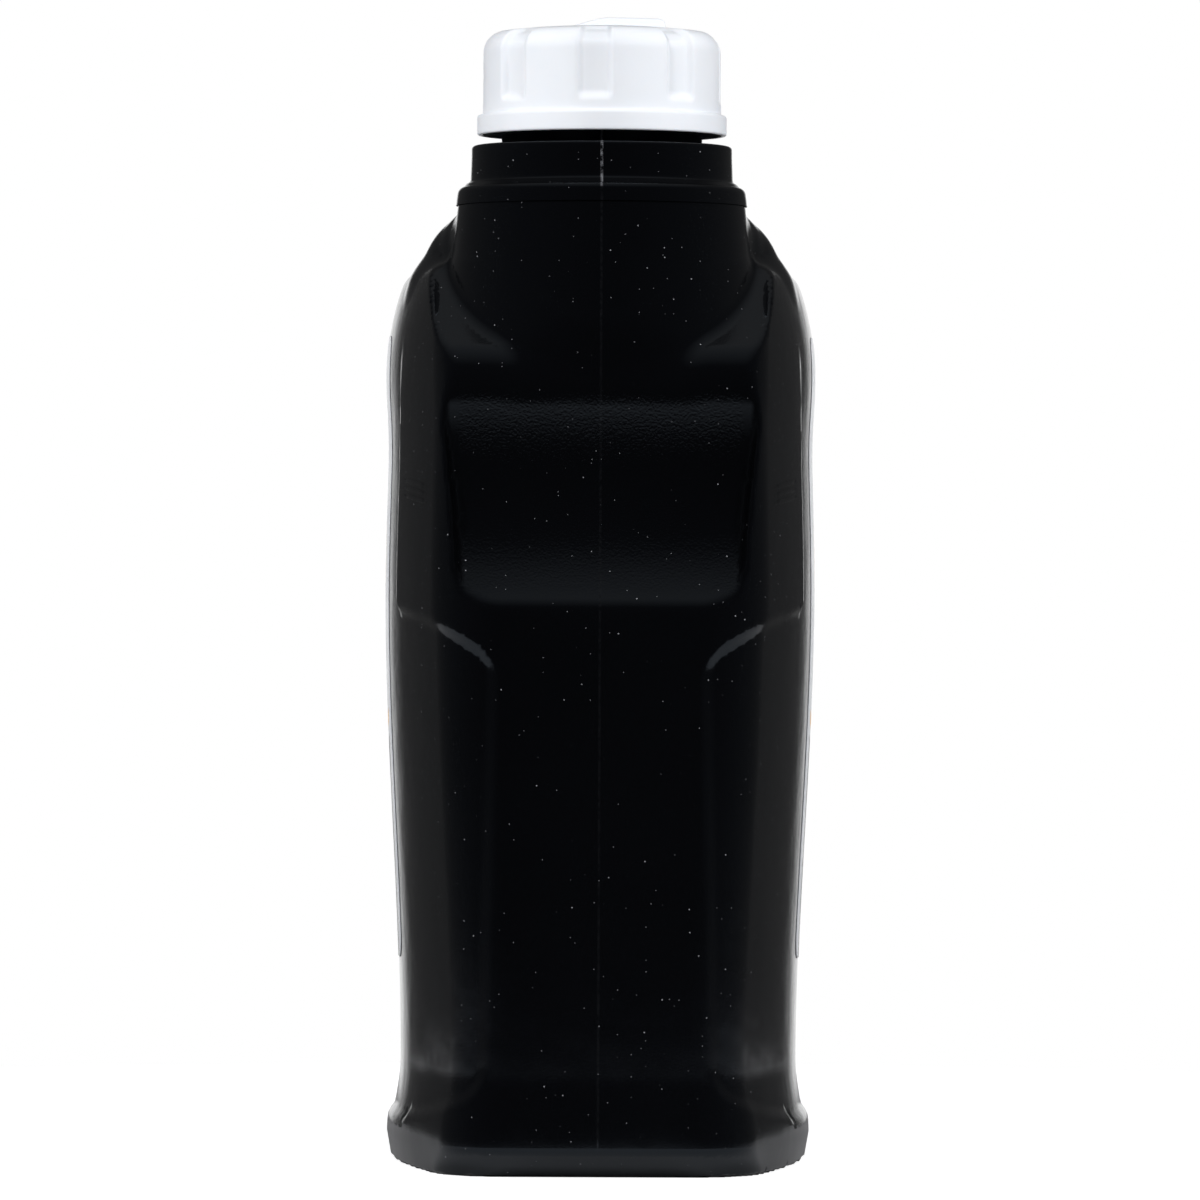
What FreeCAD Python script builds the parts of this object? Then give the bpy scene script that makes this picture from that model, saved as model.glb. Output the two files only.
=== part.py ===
"""Five quart oil jug: blown bottle with grip and handle, fluted screw cap, liner, labels and oil."""
import FreeCAD, Part
import math
import os

import Sketcher

VECTOR = FreeCAD.Vector

# Driving sizes in millimetres and degrees. X is the width, the spout is at the front, at negative Y.
SIZES = (
    ("body_length", 228.0, "length over the foot, front to rear"),
    ("foot_width", 116.4, "width over the foot edge"),
    ("waist_draw", 4.2, "how much narrower the body is just above the foot than over the foot edge"),
    ("belly_swell", 4.8, "how much wider the raised form is at its widest height than over the foot edge"),
    ("side_bow_radius", 324.0, "radius of the bowed broad faces, seen from above"),
    ("corner_radius", 20.0, "radius of the upright corners, seen from above"),
    ("foot_edge_height", 7.0, "height of the sharp edge round the foot"),
    ("foot_side_tuck", 1.2, "how far the foot tucks in under its broad sides"),
    ("foot_end_tuck", 9.0, "how far the foot tucks in under its front and rear"),
    ("waist_height", 27.0, "height of the waist above the foot"),
    ("waist_end_tuck", 1.2, "how far the front and rear draw in at the waist"),
    ("belly_height", 155.0, "height of the widest section"),
    ("neck_taper", 0.9, "how much each broad side draws in above the belly"),
    ("shoulder_start", 205.0, "height where the broad sides begin to round over"),
    ("shoulder_drop", 42.0, "height of the quarter ellipse of the rounded sides"),
    ("shoulder_depth", 12.0, "width of the quarter ellipse of the rounded sides"),
    ("brow_start", 197.0, "height where the front begins to round over"),
    ("brow_drop", 51.0, "height of the quarter ellipse of the front"),
    ("brow_depth", 37.0, "depth of the quarter ellipse of the front"),
    ("body_top", 244.0, "height of the flat top behind the shoulders"),
    ("slope_start", 120.0, "height where the rear wall turns into the slope under the handle"),
    ("slope_run", 0.75, "run of the slope for each millimetre of rise"),
    ("slope_softness", 6.0, "softness of the turn from the rear wall to the slope"),
    ("wall", 1.3, "thickness of the blown wall"),
    ("pushup_depth", 2.5, "height of the raised panel under the foot"),
    ("pushup_margin", 16.0, "width of the standing ring under the foot"),
    ("panel_recess", 1.8, "depth of the label panels below the raised form"),
    ("spine_half_width_low", 30.7, "half width of the front and rear spine at the foot"),
    ("spine_half_width_high", 28.2, "half width of the spine at the lip of the grip"),
    ("panel_low_inner", 25.0, "lower edge of the front panel beside the spine"),
    ("panel_low_outer", 13.0, "lower edge of the panel on the broad side"),
    ("panel_high_inner", 137.0, "upper edge of the front panel beside the spine"),
    ("panel_high_outer", 151.0, "upper edge of the front panel at the corner"),
    ("cheek_run", 56.0, "how far the raised band beside the grip runs back from the front"),
    ("panel_top", 229.0, "upper edge of the panel on the broad side"),
    ("panel_rear_margin", 22.0, "distance of the panel's rear edge ahead of the rear"),
    ("panel_side_reach", 5.0, "how far the front panel's field runs past the foot's width"),
    ("panel_slope_margin", 12.0, "width of the raised band beside the slope"),
    ("neck_setback", 50.0, "distance of the neck's axis behind the front"),
    ("cone_base_height", 196.0, "height of the neck cone's foot inside the body"),
    ("cone_base_radius", 45.8, "radius of the neck cone at its foot"),
    ("cone_top_height", 263.4, "height where the neck cone ends"),
    ("cone_top_radius", 38.7, "radius of the neck cone at its top"),
    ("step_height", 3.3, "height of the slanted step from the cone to the collar"),
    ("collar_radius", 35.1, "radius of the collar"),
    ("collar_top", 275.0, "height of the collar's top"),
    ("bead_radius", 27.0, "radius of the bead under the thread"),
    ("bead_height", 3.2, "height of the bead under the thread"),
    ("finish_radius", 25.4, "radius of the neck between its threads"),
    ("mouth_height", 303.0, "height of the rim of the mouth"),
    ("bore_radius", 22.6, "radius of the mouth"),
    ("bore_run", 5.0, "how far the bore is drawn past the mouth and the collar's top"),
    ("grip_radius", 45.0, "radius of the hollow grip, seen from the side"),
    ("grip_height", 183.5, "height of the deepest line of the grip"),
    ("grip_depth", 14.5, "depth of the grip below the front"),
    ("grip_low_half_width", 36.5, "half width between the cheeks at the lip"),
    ("grip_high_half_width", 46.0, "half width between the cheeks at the shoulder"),
    ("lip_height", 151.0, "height of the lip below the grip"),
    ("core_margin", 60.0, "how far the space between the cheeks is drawn past the lip and the top"),
    ("core_behind_neck", 10.0, "how far the space between the cheeks runs behind the neck's axis"),
    ("ramp_foot_setback", 6.0, "distance of the shoulder ramp's foot behind the front"),
    ("ramp_foot_height", 211.0, "height of the shoulder ramp's foot"),
    ("ramp_angle", 35.4, "slope of the shoulder ramp between the cheeks"),
    ("hood_half_width", 57.0, "half width of the hood behind the neck"),
    ("hood_top", 260.0, "height of the hood behind the neck"),
    ("hood_half_depth", 22.0, "half height of the hood's section"),
    ("hood_setback", 48.0, "distance of the hood's front end behind the front"),
    ("hood_nose", 0.68, "width of the hood's front end as a share of its full width"),
    ("hood_run", 104.0, "length over which the hood narrows to the handle"),
    ("handle_half_width", 17.5, "half width of the handle"),
    ("handle_half_depth", 12.5, "half thickness of the handle, seen from the side"),
    ("handle_top", 257.5, "height of the handle's upper side"),
    ("handle_roundness", 0.96, "corner radius of the handle's section as a share of its smaller half size"),
    ("handle_bend", 52.0, "radius of the handle's bend on its centre line"),
    ("handle_rear_gap", 0.6, "how far the handle stays ahead of the foot's rear"),
    ("handle_root_depth", 12.0, "how far the handle's root runs into the body below the slope"),
    ("label_film", 0.2, "thickness of a label"),
    ("label_seat", 0.05, "thickness of the glue between a label and its panel"),
    ("label_margin", 4.0, "distance of a label from the raised band round it"),
    ("label_slope_margin", 5.2, "distance of a label from the raised band beside the slope"),
    ("label_setback", 84.0, "distance of a label's front edge behind the front"),
    ("label_bottom", 55.0, "height of a label's lower edge"),
    ("label_corner", 7.0, "radius of a label's corners"),
    ("fill_level", 246.0, "height of the oil"),
    ("oil_clearance", 0.3, "clearance between the oil and the wall"),
    ("cap_hang", 25.1, "how far the cap's skirt hangs below the rim of the mouth"),
    ("cap_crown", 4.3, "height of the middle of the cap's dome above the rim of the mouth"),
    ("cap_flange_radius", 33.6, "radius of the cap's flange"),
    ("cap_flange_height", 5.4, "height of the cap's flange"),
    ("cap_flange_wall", 1.4, "thickness of the cap's flange at its rim"),
    ("cap_flange_roof", 1.0, "thickness of the flange's upper side"),
    ("cap_gap_roof", 5.2, "depth below the dome's middle of the roof over the gap between the skirts"),
    ("cap_flange_bevel", 1.5, "height of the slanted step above the flange"),
    ("cap_radius", 32.1, "radius of the fluted part of the cap"),
    ("cap_shoulder_height", 7.2, "height of the rounded shoulder below the dome's middle"),
    ("cap_shoulder_radius", 27.0, "radius where the shoulder meets the dome"),
    ("cap_dome_rise", 1.7, "rise of the dome above the shoulder"),
    ("cap_wall", 2.5, "thickness of the cap's skirt between its flutes"),
    ("thread_skirt_clearance", 0.4, "clearance between the neck's bead and the threaded skirt"),
    ("thread_skirt_wall", 1.3, "thickness of the threaded skirt"),
    ("thread_skirt_rise", 3.1, "height of the threaded skirt's edge above the cap's rim"),
    ("flute_radius", 8.0, "radius of a flute"),
    ("flute_depth", 1.4, "depth of a flute"),
    ("flute_start", 9.6, "height of a flute's lower end above the cap's rim"),
    ("flute_first_angle", 41.5, "direction of the first flute"),
    ("cap_shoulder_arc", 9.0, "radius of the cap's rounded shoulder"),
    ("cap_dome_arc", 240.0, "radius of the cap's dome"),
    ("wedge_length", 25.6, "length of the raised wedge on the dome"),
    ("wedge_ramp", 8.5, "length of the wedge's ramp"),
    ("wedge_width", 16.0, "width of the wedge"),
    ("wedge_offset", 8.1, "distance of the wedge's ramp end to the left of the cap's axis"),
    ("wedge_height", 2.1, "height of the wedge above the dome"),
    ("wedge_end_lean", 1.0, "how far the wedge's steep end leans in at its top"),
    ("wedge_end_drop", 0.3, "how far the wedge's ends are lower than its ridge and its dome"),
    ("liner_thickness", 1.0, "thickness of the foam liner"),
    ("liner_clearance", 0.3, "clearance round the liner and under it"),
)
FLUTES = 8
BODY_STATIONS = 13
SHOULDER_STATIONS = 6
FOOT_STATIONS = 4
FLAT_STEPS = 2
CORNER_STEPS = 4
SIDE_STEPS = 8
BEND_STATIONS = 4
HOOD_SHARES = (0.18, 0.36, 0.54, 0.7, 0.85, 1.0)
ROOT_SHARES = (0.35, 0.7, 1.0)
ELLIPSE_END = 0.999
SEWING = 1e-4
OVERLAP = 1.0
REACH = 200.0
FRONT = "(-Sizes.body_length / 2)"
NECK = f"({FRONT} + Sizes.neck_setback)"
RIM = "(Sizes.mouth_height - Sizes.cap_hang)"
DOME = "(Sizes.mouth_height + Sizes.cap_crown)"

doc = FreeCAD.newDocument("oil_jug")
sheet = doc.addObject("Spreadsheet::Sheet", "Sizes")
for row, (alias, value, note) in enumerate(SIZES, start=1):
    sheet.set(f"A{row}", note)
    sheet.set(f"B{row}", str(value))
    sheet.setAlias(f"B{row}", alias)
doc.recompute()


def size(alias):
    """One driving size, as the sheet holds it."""
    return float(sheet.get(alias))


def bind(thing, **formulas):
    """Ties properties to expressions. Two underscores in a name stand for a dot."""
    for prop, text in formulas.items():
        thing.setExpression(prop.replace("__", "."), text)


# Simple solids tied to the sheet.
def cylinder(name, radius, height, base_x="0", base_y="0", base_z="0", along_x=False):
    """A round solid whose sizes and base are expressions."""
    solid = doc.addObject("Part::Cylinder", name)
    if along_x:
        solid.Placement = FreeCAD.Placement(VECTOR(), FreeCAD.Rotation(VECTOR(0, 1, 0), 90))
    bind(solid, Radius=radius, Height=height)
    place(solid, base_x, base_y, base_z)
    return solid


def cone(name, low_radius, high_radius, height, base_y, base_z):
    """A tapered round solid whose sizes and base are expressions."""
    solid = doc.addObject("Part::Cone", name)
    bind(solid, Radius1=low_radius, Radius2=high_radius, Height=height)
    place(solid, "0", base_y, base_z)
    return solid


def place(solid, x, y, z):
    """Ties a solid's place to three expressions."""
    bind(solid, Placement__Base__x=x, Placement__Base__y=y, Placement__Base__z=z)


def box(name, length, width, height, x, y, z):
    """A block whose sizes and corner are expressions."""
    solid = doc.addObject("Part::Box", name)
    bind(solid, Length=length, Width=width, Height=height)
    place(solid, x, y, z)
    return solid


def fuse(name, *parts):
    joined = doc.addObject("Part::MultiFuse", name)
    joined.Shapes = list(parts)
    return joined


def common(name, *parts):
    shared = doc.addObject("Part::MultiCommon", name)
    shared.Shapes = list(parts)
    return shared


def cut(name, base, tool):
    rest = doc.addObject("Part::Cut", name)
    rest.Base = base
    rest.Tool = tool
    return rest


# Outlines as sketches whose corners are tied to the sheet.
def arc_between(start, end, radius):
    """The short arc from start to end that bulges to the right of its chord."""
    chord = end - start
    half = chord.Length / 2
    sagitta = radius - math.sqrt(radius * radius - half * half)
    outward = VECTOR(chord.y, -chord.x, 0).normalize()
    return Part.Arc(start, start + chord * 0.5 + outward * sagitta, end)


def draw_outline(sketch, corners, bulges=None):
    """Closed outline through corners, each a pair of expressions. Bulges holds the radius of each arc."""
    bulges = bulges or {}
    points = [VECTOR(*(float(sketch.evalExpression(text)) for text in pair), 0) for pair in corners]
    count = len(points)
    for index, start in enumerate(points):
        end = points[(index + 1) % count]
        if index in bulges:
            edge = arc_between(start, end, float(sketch.evalExpression(bulges[index])))
        else:
            edge = Part.LineSegment(start, end)
        sketch.addGeometry(edge, False)
    for index in range(count):
        sketch.addConstraint(Sketcher.Constraint("Coincident", index, 2, (index + 1) % count, 1))
    for index, pair in enumerate(corners):
        for kind, text, value in zip(("DistanceX", "DistanceY"), pair, points[index]):
            number = sketch.addConstraint(Sketcher.Constraint(kind, -1, 1, index, 1, value))
            sketch.setExpression(f"Constraints[{number}]", text)


def prism(name, across, corners, length, start):
    """Outline extruded along X, drawn in Y and Z, or along Y, drawn in X and Z."""
    sketch = doc.addObject("Sketcher::SketchObject", f"{name}Outline")
    if across == "x":
        sketch.Placement = FreeCAD.Placement(VECTOR(), FreeCAD.Rotation(VECTOR(1, 1, 1), 120))
        bind(sketch, Placement__Base__x=start)
    else:
        sketch.Placement = FreeCAD.Placement(VECTOR(), FreeCAD.Rotation(VECTOR(1, 0, 0), 90))
        bind(sketch, Placement__Base__y=start)
    draw_outline(sketch, corners)
    solid = doc.addObject("Part::Extrusion", name)
    solid.Base = sketch
    solid.DirMode = "Custom"
    solid.Dir = VECTOR(1, 0, 0) if across == "x" else VECTOR(0, 1, 0)
    solid.Solid = True
    bind(solid, LengthFwd=length)
    return solid


# Form of the blown body: each height has one closed outline.
def smooth_step(share):
    share = min(max(share, 0.0), 1.0)
    return share * share * (3 - 2 * share)


def ellipse_drop(height, start, rise, depth):
    """How far a quarter ellipse that starts upright has leaned in at a height."""
    share = min(max((height - start) / rise, 0.0), ELLIPSE_END)
    return depth * (1 - math.sqrt(1 - share * share))


def half_width_at(height):
    """Half width of the raised form in the middle of its length."""
    foot = size("foot_width") / 2
    waist = foot - size("waist_draw") / 2
    belly = foot + size("belly_swell") / 2
    foot_edge = size("foot_edge_height")
    if height <= foot_edge:
        return foot - size("foot_side_tuck") * (1 - height / foot_edge)
    if height <= size("waist_height"):
        share = (height - foot_edge) / (size("waist_height") - foot_edge)
        return foot + (waist - foot) * smooth_step(share)
    if height <= size("belly_height"):
        share = (height - size("waist_height")) / (size("belly_height") - size("waist_height"))
        return waist + (belly - waist) * smooth_step(share)
    share = (height - size("belly_height")) / (size("shoulder_start") - size("belly_height"))
    taper = size("neck_taper") * smooth_step(share)
    return belly - taper - ellipse_drop(
        height, size("shoulder_start"), size("shoulder_drop"), size("shoulder_depth"))


def end_reach_at(height):
    """Distance of the front or rear from the middle, before the brow and the slope."""
    reach = size("body_length") / 2
    foot_edge = size("foot_edge_height")
    if height <= foot_edge:
        return reach - size("foot_end_tuck") * (1 - height / foot_edge)
    share = (height - foot_edge) / (size("waist_height") - foot_edge)
    return reach - size("waist_end_tuck") * smooth_step(share)


def front_at(height):
    return end_reach_at(height) - ellipse_drop(
        height, size("brow_start"), size("brow_drop"), size("brow_depth"))


def rear_at(height):
    """The rear is upright, then slopes forward under the handle, with a soft turn."""
    softness = size("slope_softness")
    rise = (height - size("slope_start")) / softness
    soft_rise = rise + math.log1p(math.exp(-rise)) if rise > 0 else math.log1p(math.exp(rise))
    return end_reach_at(height) - size("slope_run") * softness * soft_rise


def body_heights():
    """Heights of the outlines above the foot's edge, closer together where the form turns."""
    foot_edge = size("foot_edge_height")
    waist = size("waist_height")
    shoulder = size("shoulder_start")
    heights = [foot_edge + (waist - foot_edge) * step / FOOT_STATIONS for step in range(FOOT_STATIONS)]
    heights += [waist + (shoulder - waist) * step / BODY_STATIONS for step in range(BODY_STATIONS)]
    top_turn = math.asin((size("body_top") - shoulder) / size("shoulder_drop"))
    heights += [
        shoulder + size("shoulder_drop") * math.sin(top_turn * step / SHOULDER_STATIONS)
        for step in range(SHOULDER_STATIONS + 1)
    ]
    return heights


def plan_points(height, level, inset):
    """Guide points of half an outline, from the front's middle round the right side to the rear's."""
    bow = size("side_bow_radius") - inset
    corner = size("corner_radius") - inset
    centre_x = half_width_at(height) - inset - bow
    ends = []
    turns = []
    for side, reach in ((-1, front_at(height) - inset), (1, rear_at(height) - inset)):
        centre_y = reach - corner
        corner_x = centre_x + math.sqrt((bow - corner) ** 2 - centre_y ** 2)
        turn = math.atan2(centre_y, corner_x - centre_x)
        end = [(corner_x * share / FLAT_STEPS, reach) for share in range(FLAT_STEPS)]
        for step in range(CORNER_STEPS + 1):
            angle = math.pi / 2 + (turn - math.pi / 2) * step / CORNER_STEPS
            end.append((corner_x + corner * math.cos(angle), centre_y + corner * math.sin(angle)))
        ends.append([VECTOR(x, side * y, level) for x, y in end])
        turns.append(side * turn)
    side_points = []
    for step in range(1, SIDE_STEPS):
        angle = turns[0] + (turns[1] - turns[0]) * step / SIDE_STEPS
        side_points.append(VECTOR(centre_x + bow * math.cos(angle), bow * math.sin(angle), level))
    return ends[0] + side_points + ends[1][::-1]


def clamped_knots(poles, degree):
    """Multiplicities and knots of an even spline that ends on its first and last pole."""
    spans = poles - degree
    return [degree + 1] + [1] * (spans - 1) + [degree + 1], [float(knot) for knot in range(spans + 1)]


def spline_sheet(rows, rise_degree):
    """A smooth surface that follows rows of guide points."""
    mults_across, knots_across = clamped_knots(len(rows[0]), 3)
    mults_along, knots_along = clamped_knots(len(rows), rise_degree)
    surface = Part.BSplineSurface()
    surface.buildFromPolesMultsKnots(
        [list(column) for column in zip(*rows)], mults_across, mults_along, knots_across, knots_along,
        False, False, 3, rise_degree)
    return surface.toShape()


def end_face(row):
    """The flat face inside a row of guide points and its mirror image."""
    mults, knots = clamped_knots(len(row), 3)
    edges = []
    for points in (row, mirrored(row)):
        curve = Part.BSplineCurve()
        curve.buildFromPolesMultsKnots(list(points), mults, knots, False, 3)
        edges.append(curve.toShape())
    return Part.Face(Part.Wire(edges))


def mirrored(points):
    return [VECTOR(-point.x, point.y, point.z) for point in points]


def mirrored_solid(name, *stretches):
    """A solid whose right half follows rows of points. Stretches share their last and first rows."""
    faces = [end_face(stretches[0][0][0]), end_face(stretches[-1][0][-1])]
    for rows, rise_degree in stretches:
        faces.append(spline_sheet(rows, rise_degree))
        faces.append(spline_sheet([mirrored(row) for row in rows], rise_degree))
    shell = Part.makeShell(faces)
    shell.sewShape()
    solid = Part.makeSolid(Part.Shell(shell.Faces))
    solid.fix(SEWING, SEWING, SEWING)
    feature = doc.addObject("Part::Feature", name)
    feature.Shape = solid
    return feature


def body_block(name, side_inset, end_inset):
    """The body without its grip, neck and handle. Its floor and top are drawn in by end_inset."""
    top = size("body_top")

    def row(height):
        return plan_points(height, end_inset + height * (top - 2 * end_inset) / top, side_inset)

    rows = [row(height) for height in body_heights()]
    return mirrored_solid(name, ([row(0.0), rows[0]], 1), (rows, 3))


# The hood behind the neck and the handle that grows out of it.
def tube_points(centre, lean, half_width, half_depth):
    """Guide points of half a rounded oblong across the handle's line, from its upper to its lower middle."""
    corner = size("handle_roundness") * min(half_width, half_depth)
    run_x = half_width - corner
    run_up = half_depth - corner
    angle = math.radians(lean)
    up = VECTOR(0, math.sin(angle), math.cos(angle))
    offsets = [(run_x * share / FLAT_STEPS, half_depth) for share in range(FLAT_STEPS)]
    for step in range(2 * CORNER_STEPS + 1):
        turn = math.pi / 2 - math.pi * step / (2 * CORNER_STEPS)
        sign = 1 if turn > 0.001 else -1 if turn < -0.001 else 0
        offsets.append((run_x + corner * math.cos(turn), sign * run_up + corner * math.sin(turn)))
    offsets += [(x, -height) for x, height in offsets[FLAT_STEPS - 1::-1]]
    return [centre + VECTOR(x, 0, 0) + up * height for x, height in offsets]


def handle_solid(name, inset):
    """Lofted along the hood, back to the bend, round it and down into the rear of the body."""
    bend = size("handle_bend")
    rear_line = size("body_length") / 2 - size("handle_rear_gap") - size("handle_half_depth")
    hood_centre = size("hood_top") - size("hood_half_depth")
    top_line = size("handle_top") - size("handle_half_depth")
    start = size("hood_setback") - size("body_length") / 2
    bend_start = rear_line - bend
    stations = [(start, hood_centre, 0.0, 0.0)]
    for share in HOOD_SHARES:
        along = share * (bend_start - start)
        stations.append((start + along, None, 0.0, along))
    for step in range(1, BEND_STATIONS + 1):
        angle = math.pi / 2 * step / BEND_STATIONS
        stations.append((
            bend_start + bend * math.sin(angle),
            top_line - bend * (1 - math.cos(angle)),
            math.degrees(angle),
            size("hood_run"),
        ))
    root = size("slope_start") - size("handle_root_depth")
    bend_end = top_line - bend
    for share in ROOT_SHARES:
        stations.append((rear_line, bend_end + (root - bend_end) * share, 90.0, size("hood_run")))
    outlines = []
    for y, z, lean, along in stations:
        share = smooth_step(along / size("hood_run"))
        half_width = size("hood_half_width") + (size("handle_half_width") - size("hood_half_width")) * share
        half_depth = size("hood_half_depth") + (size("handle_half_depth") - size("hood_half_depth")) * share
        if z is None:
            z = hood_centre + (top_line - hood_centre) * share
        if along == 0:
            half_width *= size("hood_nose")
            half_depth *= size("hood_nose")
        outlines.append(tube_points(VECTOR(0, y, z), lean, half_width - inset, half_depth - inset))
    return mirrored_solid(name, (outlines, 3))


def plan_slab(name, inset, low, high):
    """A flat slab with the outline of the foot, drawn in by inset."""
    return mirrored_solid(name, ([plan_points(0.0, level, inset) for level in (low, high)], 1))


# The whole blown form, drawn in by inset: 0 for the outside, the wall for the inside.
def panel_region(tag, inset):
    """Space in which the label panels lie: one field across the body and two beside the spine."""
    low = f"Sizes.panel_low_outer - ({inset})"
    top = f"(Sizes.panel_top + {inset})"
    front = f"{FRONT} + Sizes.cheek_run - ({inset})"
    rear = f"Sizes.body_length / 2 - Sizes.panel_rear_margin + {inset}"
    rear_turn = "(Sizes.panel_rear_margin - Sizes.panel_slope_margin) / Sizes.slope_run"
    slope_rear = f"Sizes.body_length / 2 - Sizes.panel_slope_margin + {inset}"
    side = prism(f"{tag}PanelSide", "x", [
        (front, low),
        (rear, low),
        (rear, f"Sizes.slope_start + {rear_turn}"),
        (f"{slope_rear} - Sizes.slope_run * ({top} - Sizes.slope_start)", top),
        (front, top),
    ], f"{REACH} mm", f"-{REACH / 2}")
    side_reach = "(Sizes.foot_width / 2 + Sizes.panel_side_reach)"
    fronts = []
    for word, sign in (("Left", "-"), ("Right", "")):
        fronts.append(prism(f"{tag}PanelFront{word}", "y", [
            (f"{sign}(Sizes.spine_half_width_low - ({inset}))", f"Sizes.panel_low_inner - ({inset})"),
            (f"{sign}{side_reach}", low),
            (f"{sign}{side_reach}", f"Sizes.panel_high_outer + {inset}"),
            (f"{sign}(Sizes.spine_half_width_high - ({inset}))", f"Sizes.panel_high_inner + {inset}"),
        ], "2 * Sizes.cheek_run", f"{FRONT} - Sizes.cheek_run"))
    return fuse(f"{tag}PanelRegion", side, *fronts)


def scoop_core(tag, inset):
    """Space between the cheeks, wider towards the shoulder."""
    gain = "Sizes.grip_high_half_width - Sizes.grip_low_half_width"
    widen = f"({gain}) / (Sizes.body_top - Sizes.lip_height)"
    low = f"Sizes.grip_low_half_width - {widen} * Sizes.core_margin + {inset}"
    high = f"Sizes.grip_high_half_width + {widen} * Sizes.core_margin + {inset}"
    bottom = "Sizes.lip_height - Sizes.core_margin"
    top = "Sizes.body_top + Sizes.core_margin"
    return prism(
        f"{tag}ScoopCore", "y", [(f"-({low})", bottom), (low, bottom), (high, top), (f"-({high})", top)],
        f"{REACH} + {NECK} + Sizes.core_behind_neck", f"-{REACH}")


def jug_form(tag, inset):
    """The blown form with its panels, shoulder ramp, neck cone, grip, hood and handle."""
    amount = sheet.evalExpression(inset)
    block = body_block(f"{tag}Block", amount, amount)
    floor = body_block(f"{tag}PanelFloor", amount + size("panel_recess"), amount)
    carved = cut(f"{tag}Carved", block, cut(f"{tag}PanelSkin", panel_region(tag, inset), floor))
    core = scoop_core(tag, inset)
    ramp_foot = f"Sizes.ramp_foot_height - ({inset}) / cos(Sizes.ramp_angle * 1 deg)"
    foot_y = f"({FRONT} + Sizes.ramp_foot_setback)"
    ramp = prism(f"{tag}Ramp", "x", [
        (f"-{REACH}", ramp_foot),
        (foot_y, ramp_foot),
        ("0", f"{ramp_foot} - {foot_y} * tan(Sizes.ramp_angle * 1 deg)"),
        ("0", f"{2 * REACH}"),
        (f"-{REACH}", f"{2 * REACH}"),
    ], f"{REACH} mm", f"-{REACH / 2}")
    ramped = cut(f"{tag}Ramped", carved, common(f"{tag}RampTool", core, ramp))
    neck_cone = cone(
        f"{tag}Cone", f"Sizes.cone_base_radius - ({inset})", f"Sizes.cone_top_radius - ({inset})",
        "Sizes.cone_top_height - Sizes.cone_base_height", NECK, "Sizes.cone_base_height")
    grip = cylinder(
        f"{tag}Grip", f"Sizes.grip_radius + {inset}", f"{REACH} mm", f"-{REACH / 2}",
        f"{FRONT} + Sizes.grip_depth - Sizes.grip_radius", "Sizes.grip_height", along_x=True)
    gripped = cut(
        f"{tag}Gripped", fuse(f"{tag}Coned", ramped, neck_cone), common(f"{tag}GripTool", core, grip))
    return fuse(f"{tag}Form", gripped, handle_solid(f"{tag}Handle", amount))


def neck_axis_cylinder(name, radius, height, base_z):
    return cylinder(name, radius, height, "0", NECK, base_z)


def make_bottle():
    """The blown bottle: its outside with collar and neck, less its inside with the bore."""
    step = cone(
        "CollarStep", "Sizes.cone_top_radius", "Sizes.collar_radius", "Sizes.step_height",
        NECK, "Sizes.cone_top_height")
    collar_foot = "(Sizes.cone_top_height + Sizes.step_height)"
    collar = neck_axis_cylinder(
        "Collar", "Sizes.collar_radius", f"Sizes.collar_top - {collar_foot}", collar_foot)
    bead = neck_axis_cylinder("Bead", "Sizes.bead_radius", "Sizes.bead_height", "Sizes.collar_top")
    finish = neck_axis_cylinder(
        "Finish", "Sizes.finish_radius", "Sizes.mouth_height - Sizes.collar_top", "Sizes.collar_top")
    outside = fuse("Outside", jug_form("Outer", "0"), step, collar, bead, finish)
    wall = size("wall")
    margin = size("pushup_margin")
    pushup = size("pushup_depth")
    dish = plan_slab("DishUnderFoot", margin, -pushup, pushup)
    raised_floor = plan_slab("RaisedFloor", margin - wall, 0.0, pushup + wall)
    collar_inside = neck_axis_cylinder(
        "CollarInside", "Sizes.collar_radius - Sizes.wall",
        f"Sizes.collar_top - Sizes.wall - Sizes.cone_top_height + {OVERLAP}",
        f"Sizes.cone_top_height - {OVERLAP}")
    bore = neck_axis_cylinder(
        "Bore", "Sizes.bore_radius", "Sizes.mouth_height - Sizes.collar_top + 2 * Sizes.bore_run",
        "Sizes.collar_top - Sizes.bore_run")
    inside_form = cut("InsideForm", jug_form("Inner", "Sizes.wall"), raised_floor)
    inside = fuse("Inside", inside_form, collar_inside, bore)
    return cut("bottle_body", cut("DishedOutside", outside, dish), inside)


def make_oil():
    """The oil, a little clear of the wall, up to its fill level."""
    inset = "Sizes.wall + Sizes.oil_clearance"
    amount = sheet.evalExpression(inset)
    margin = size("pushup_margin")
    pushup = size("pushup_depth")
    raised_floor = plan_slab("OilFloor", margin - amount, 0.0, pushup + amount)
    filled = box(
        "Filled", f"{REACH} mm", f"{2 * REACH} mm", "Sizes.fill_level", f"-{REACH / 2}", f"-{REACH}", "0")
    return common("oil", cut("OilForm", jug_form("Fill", inset), raised_floor), filled)


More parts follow.
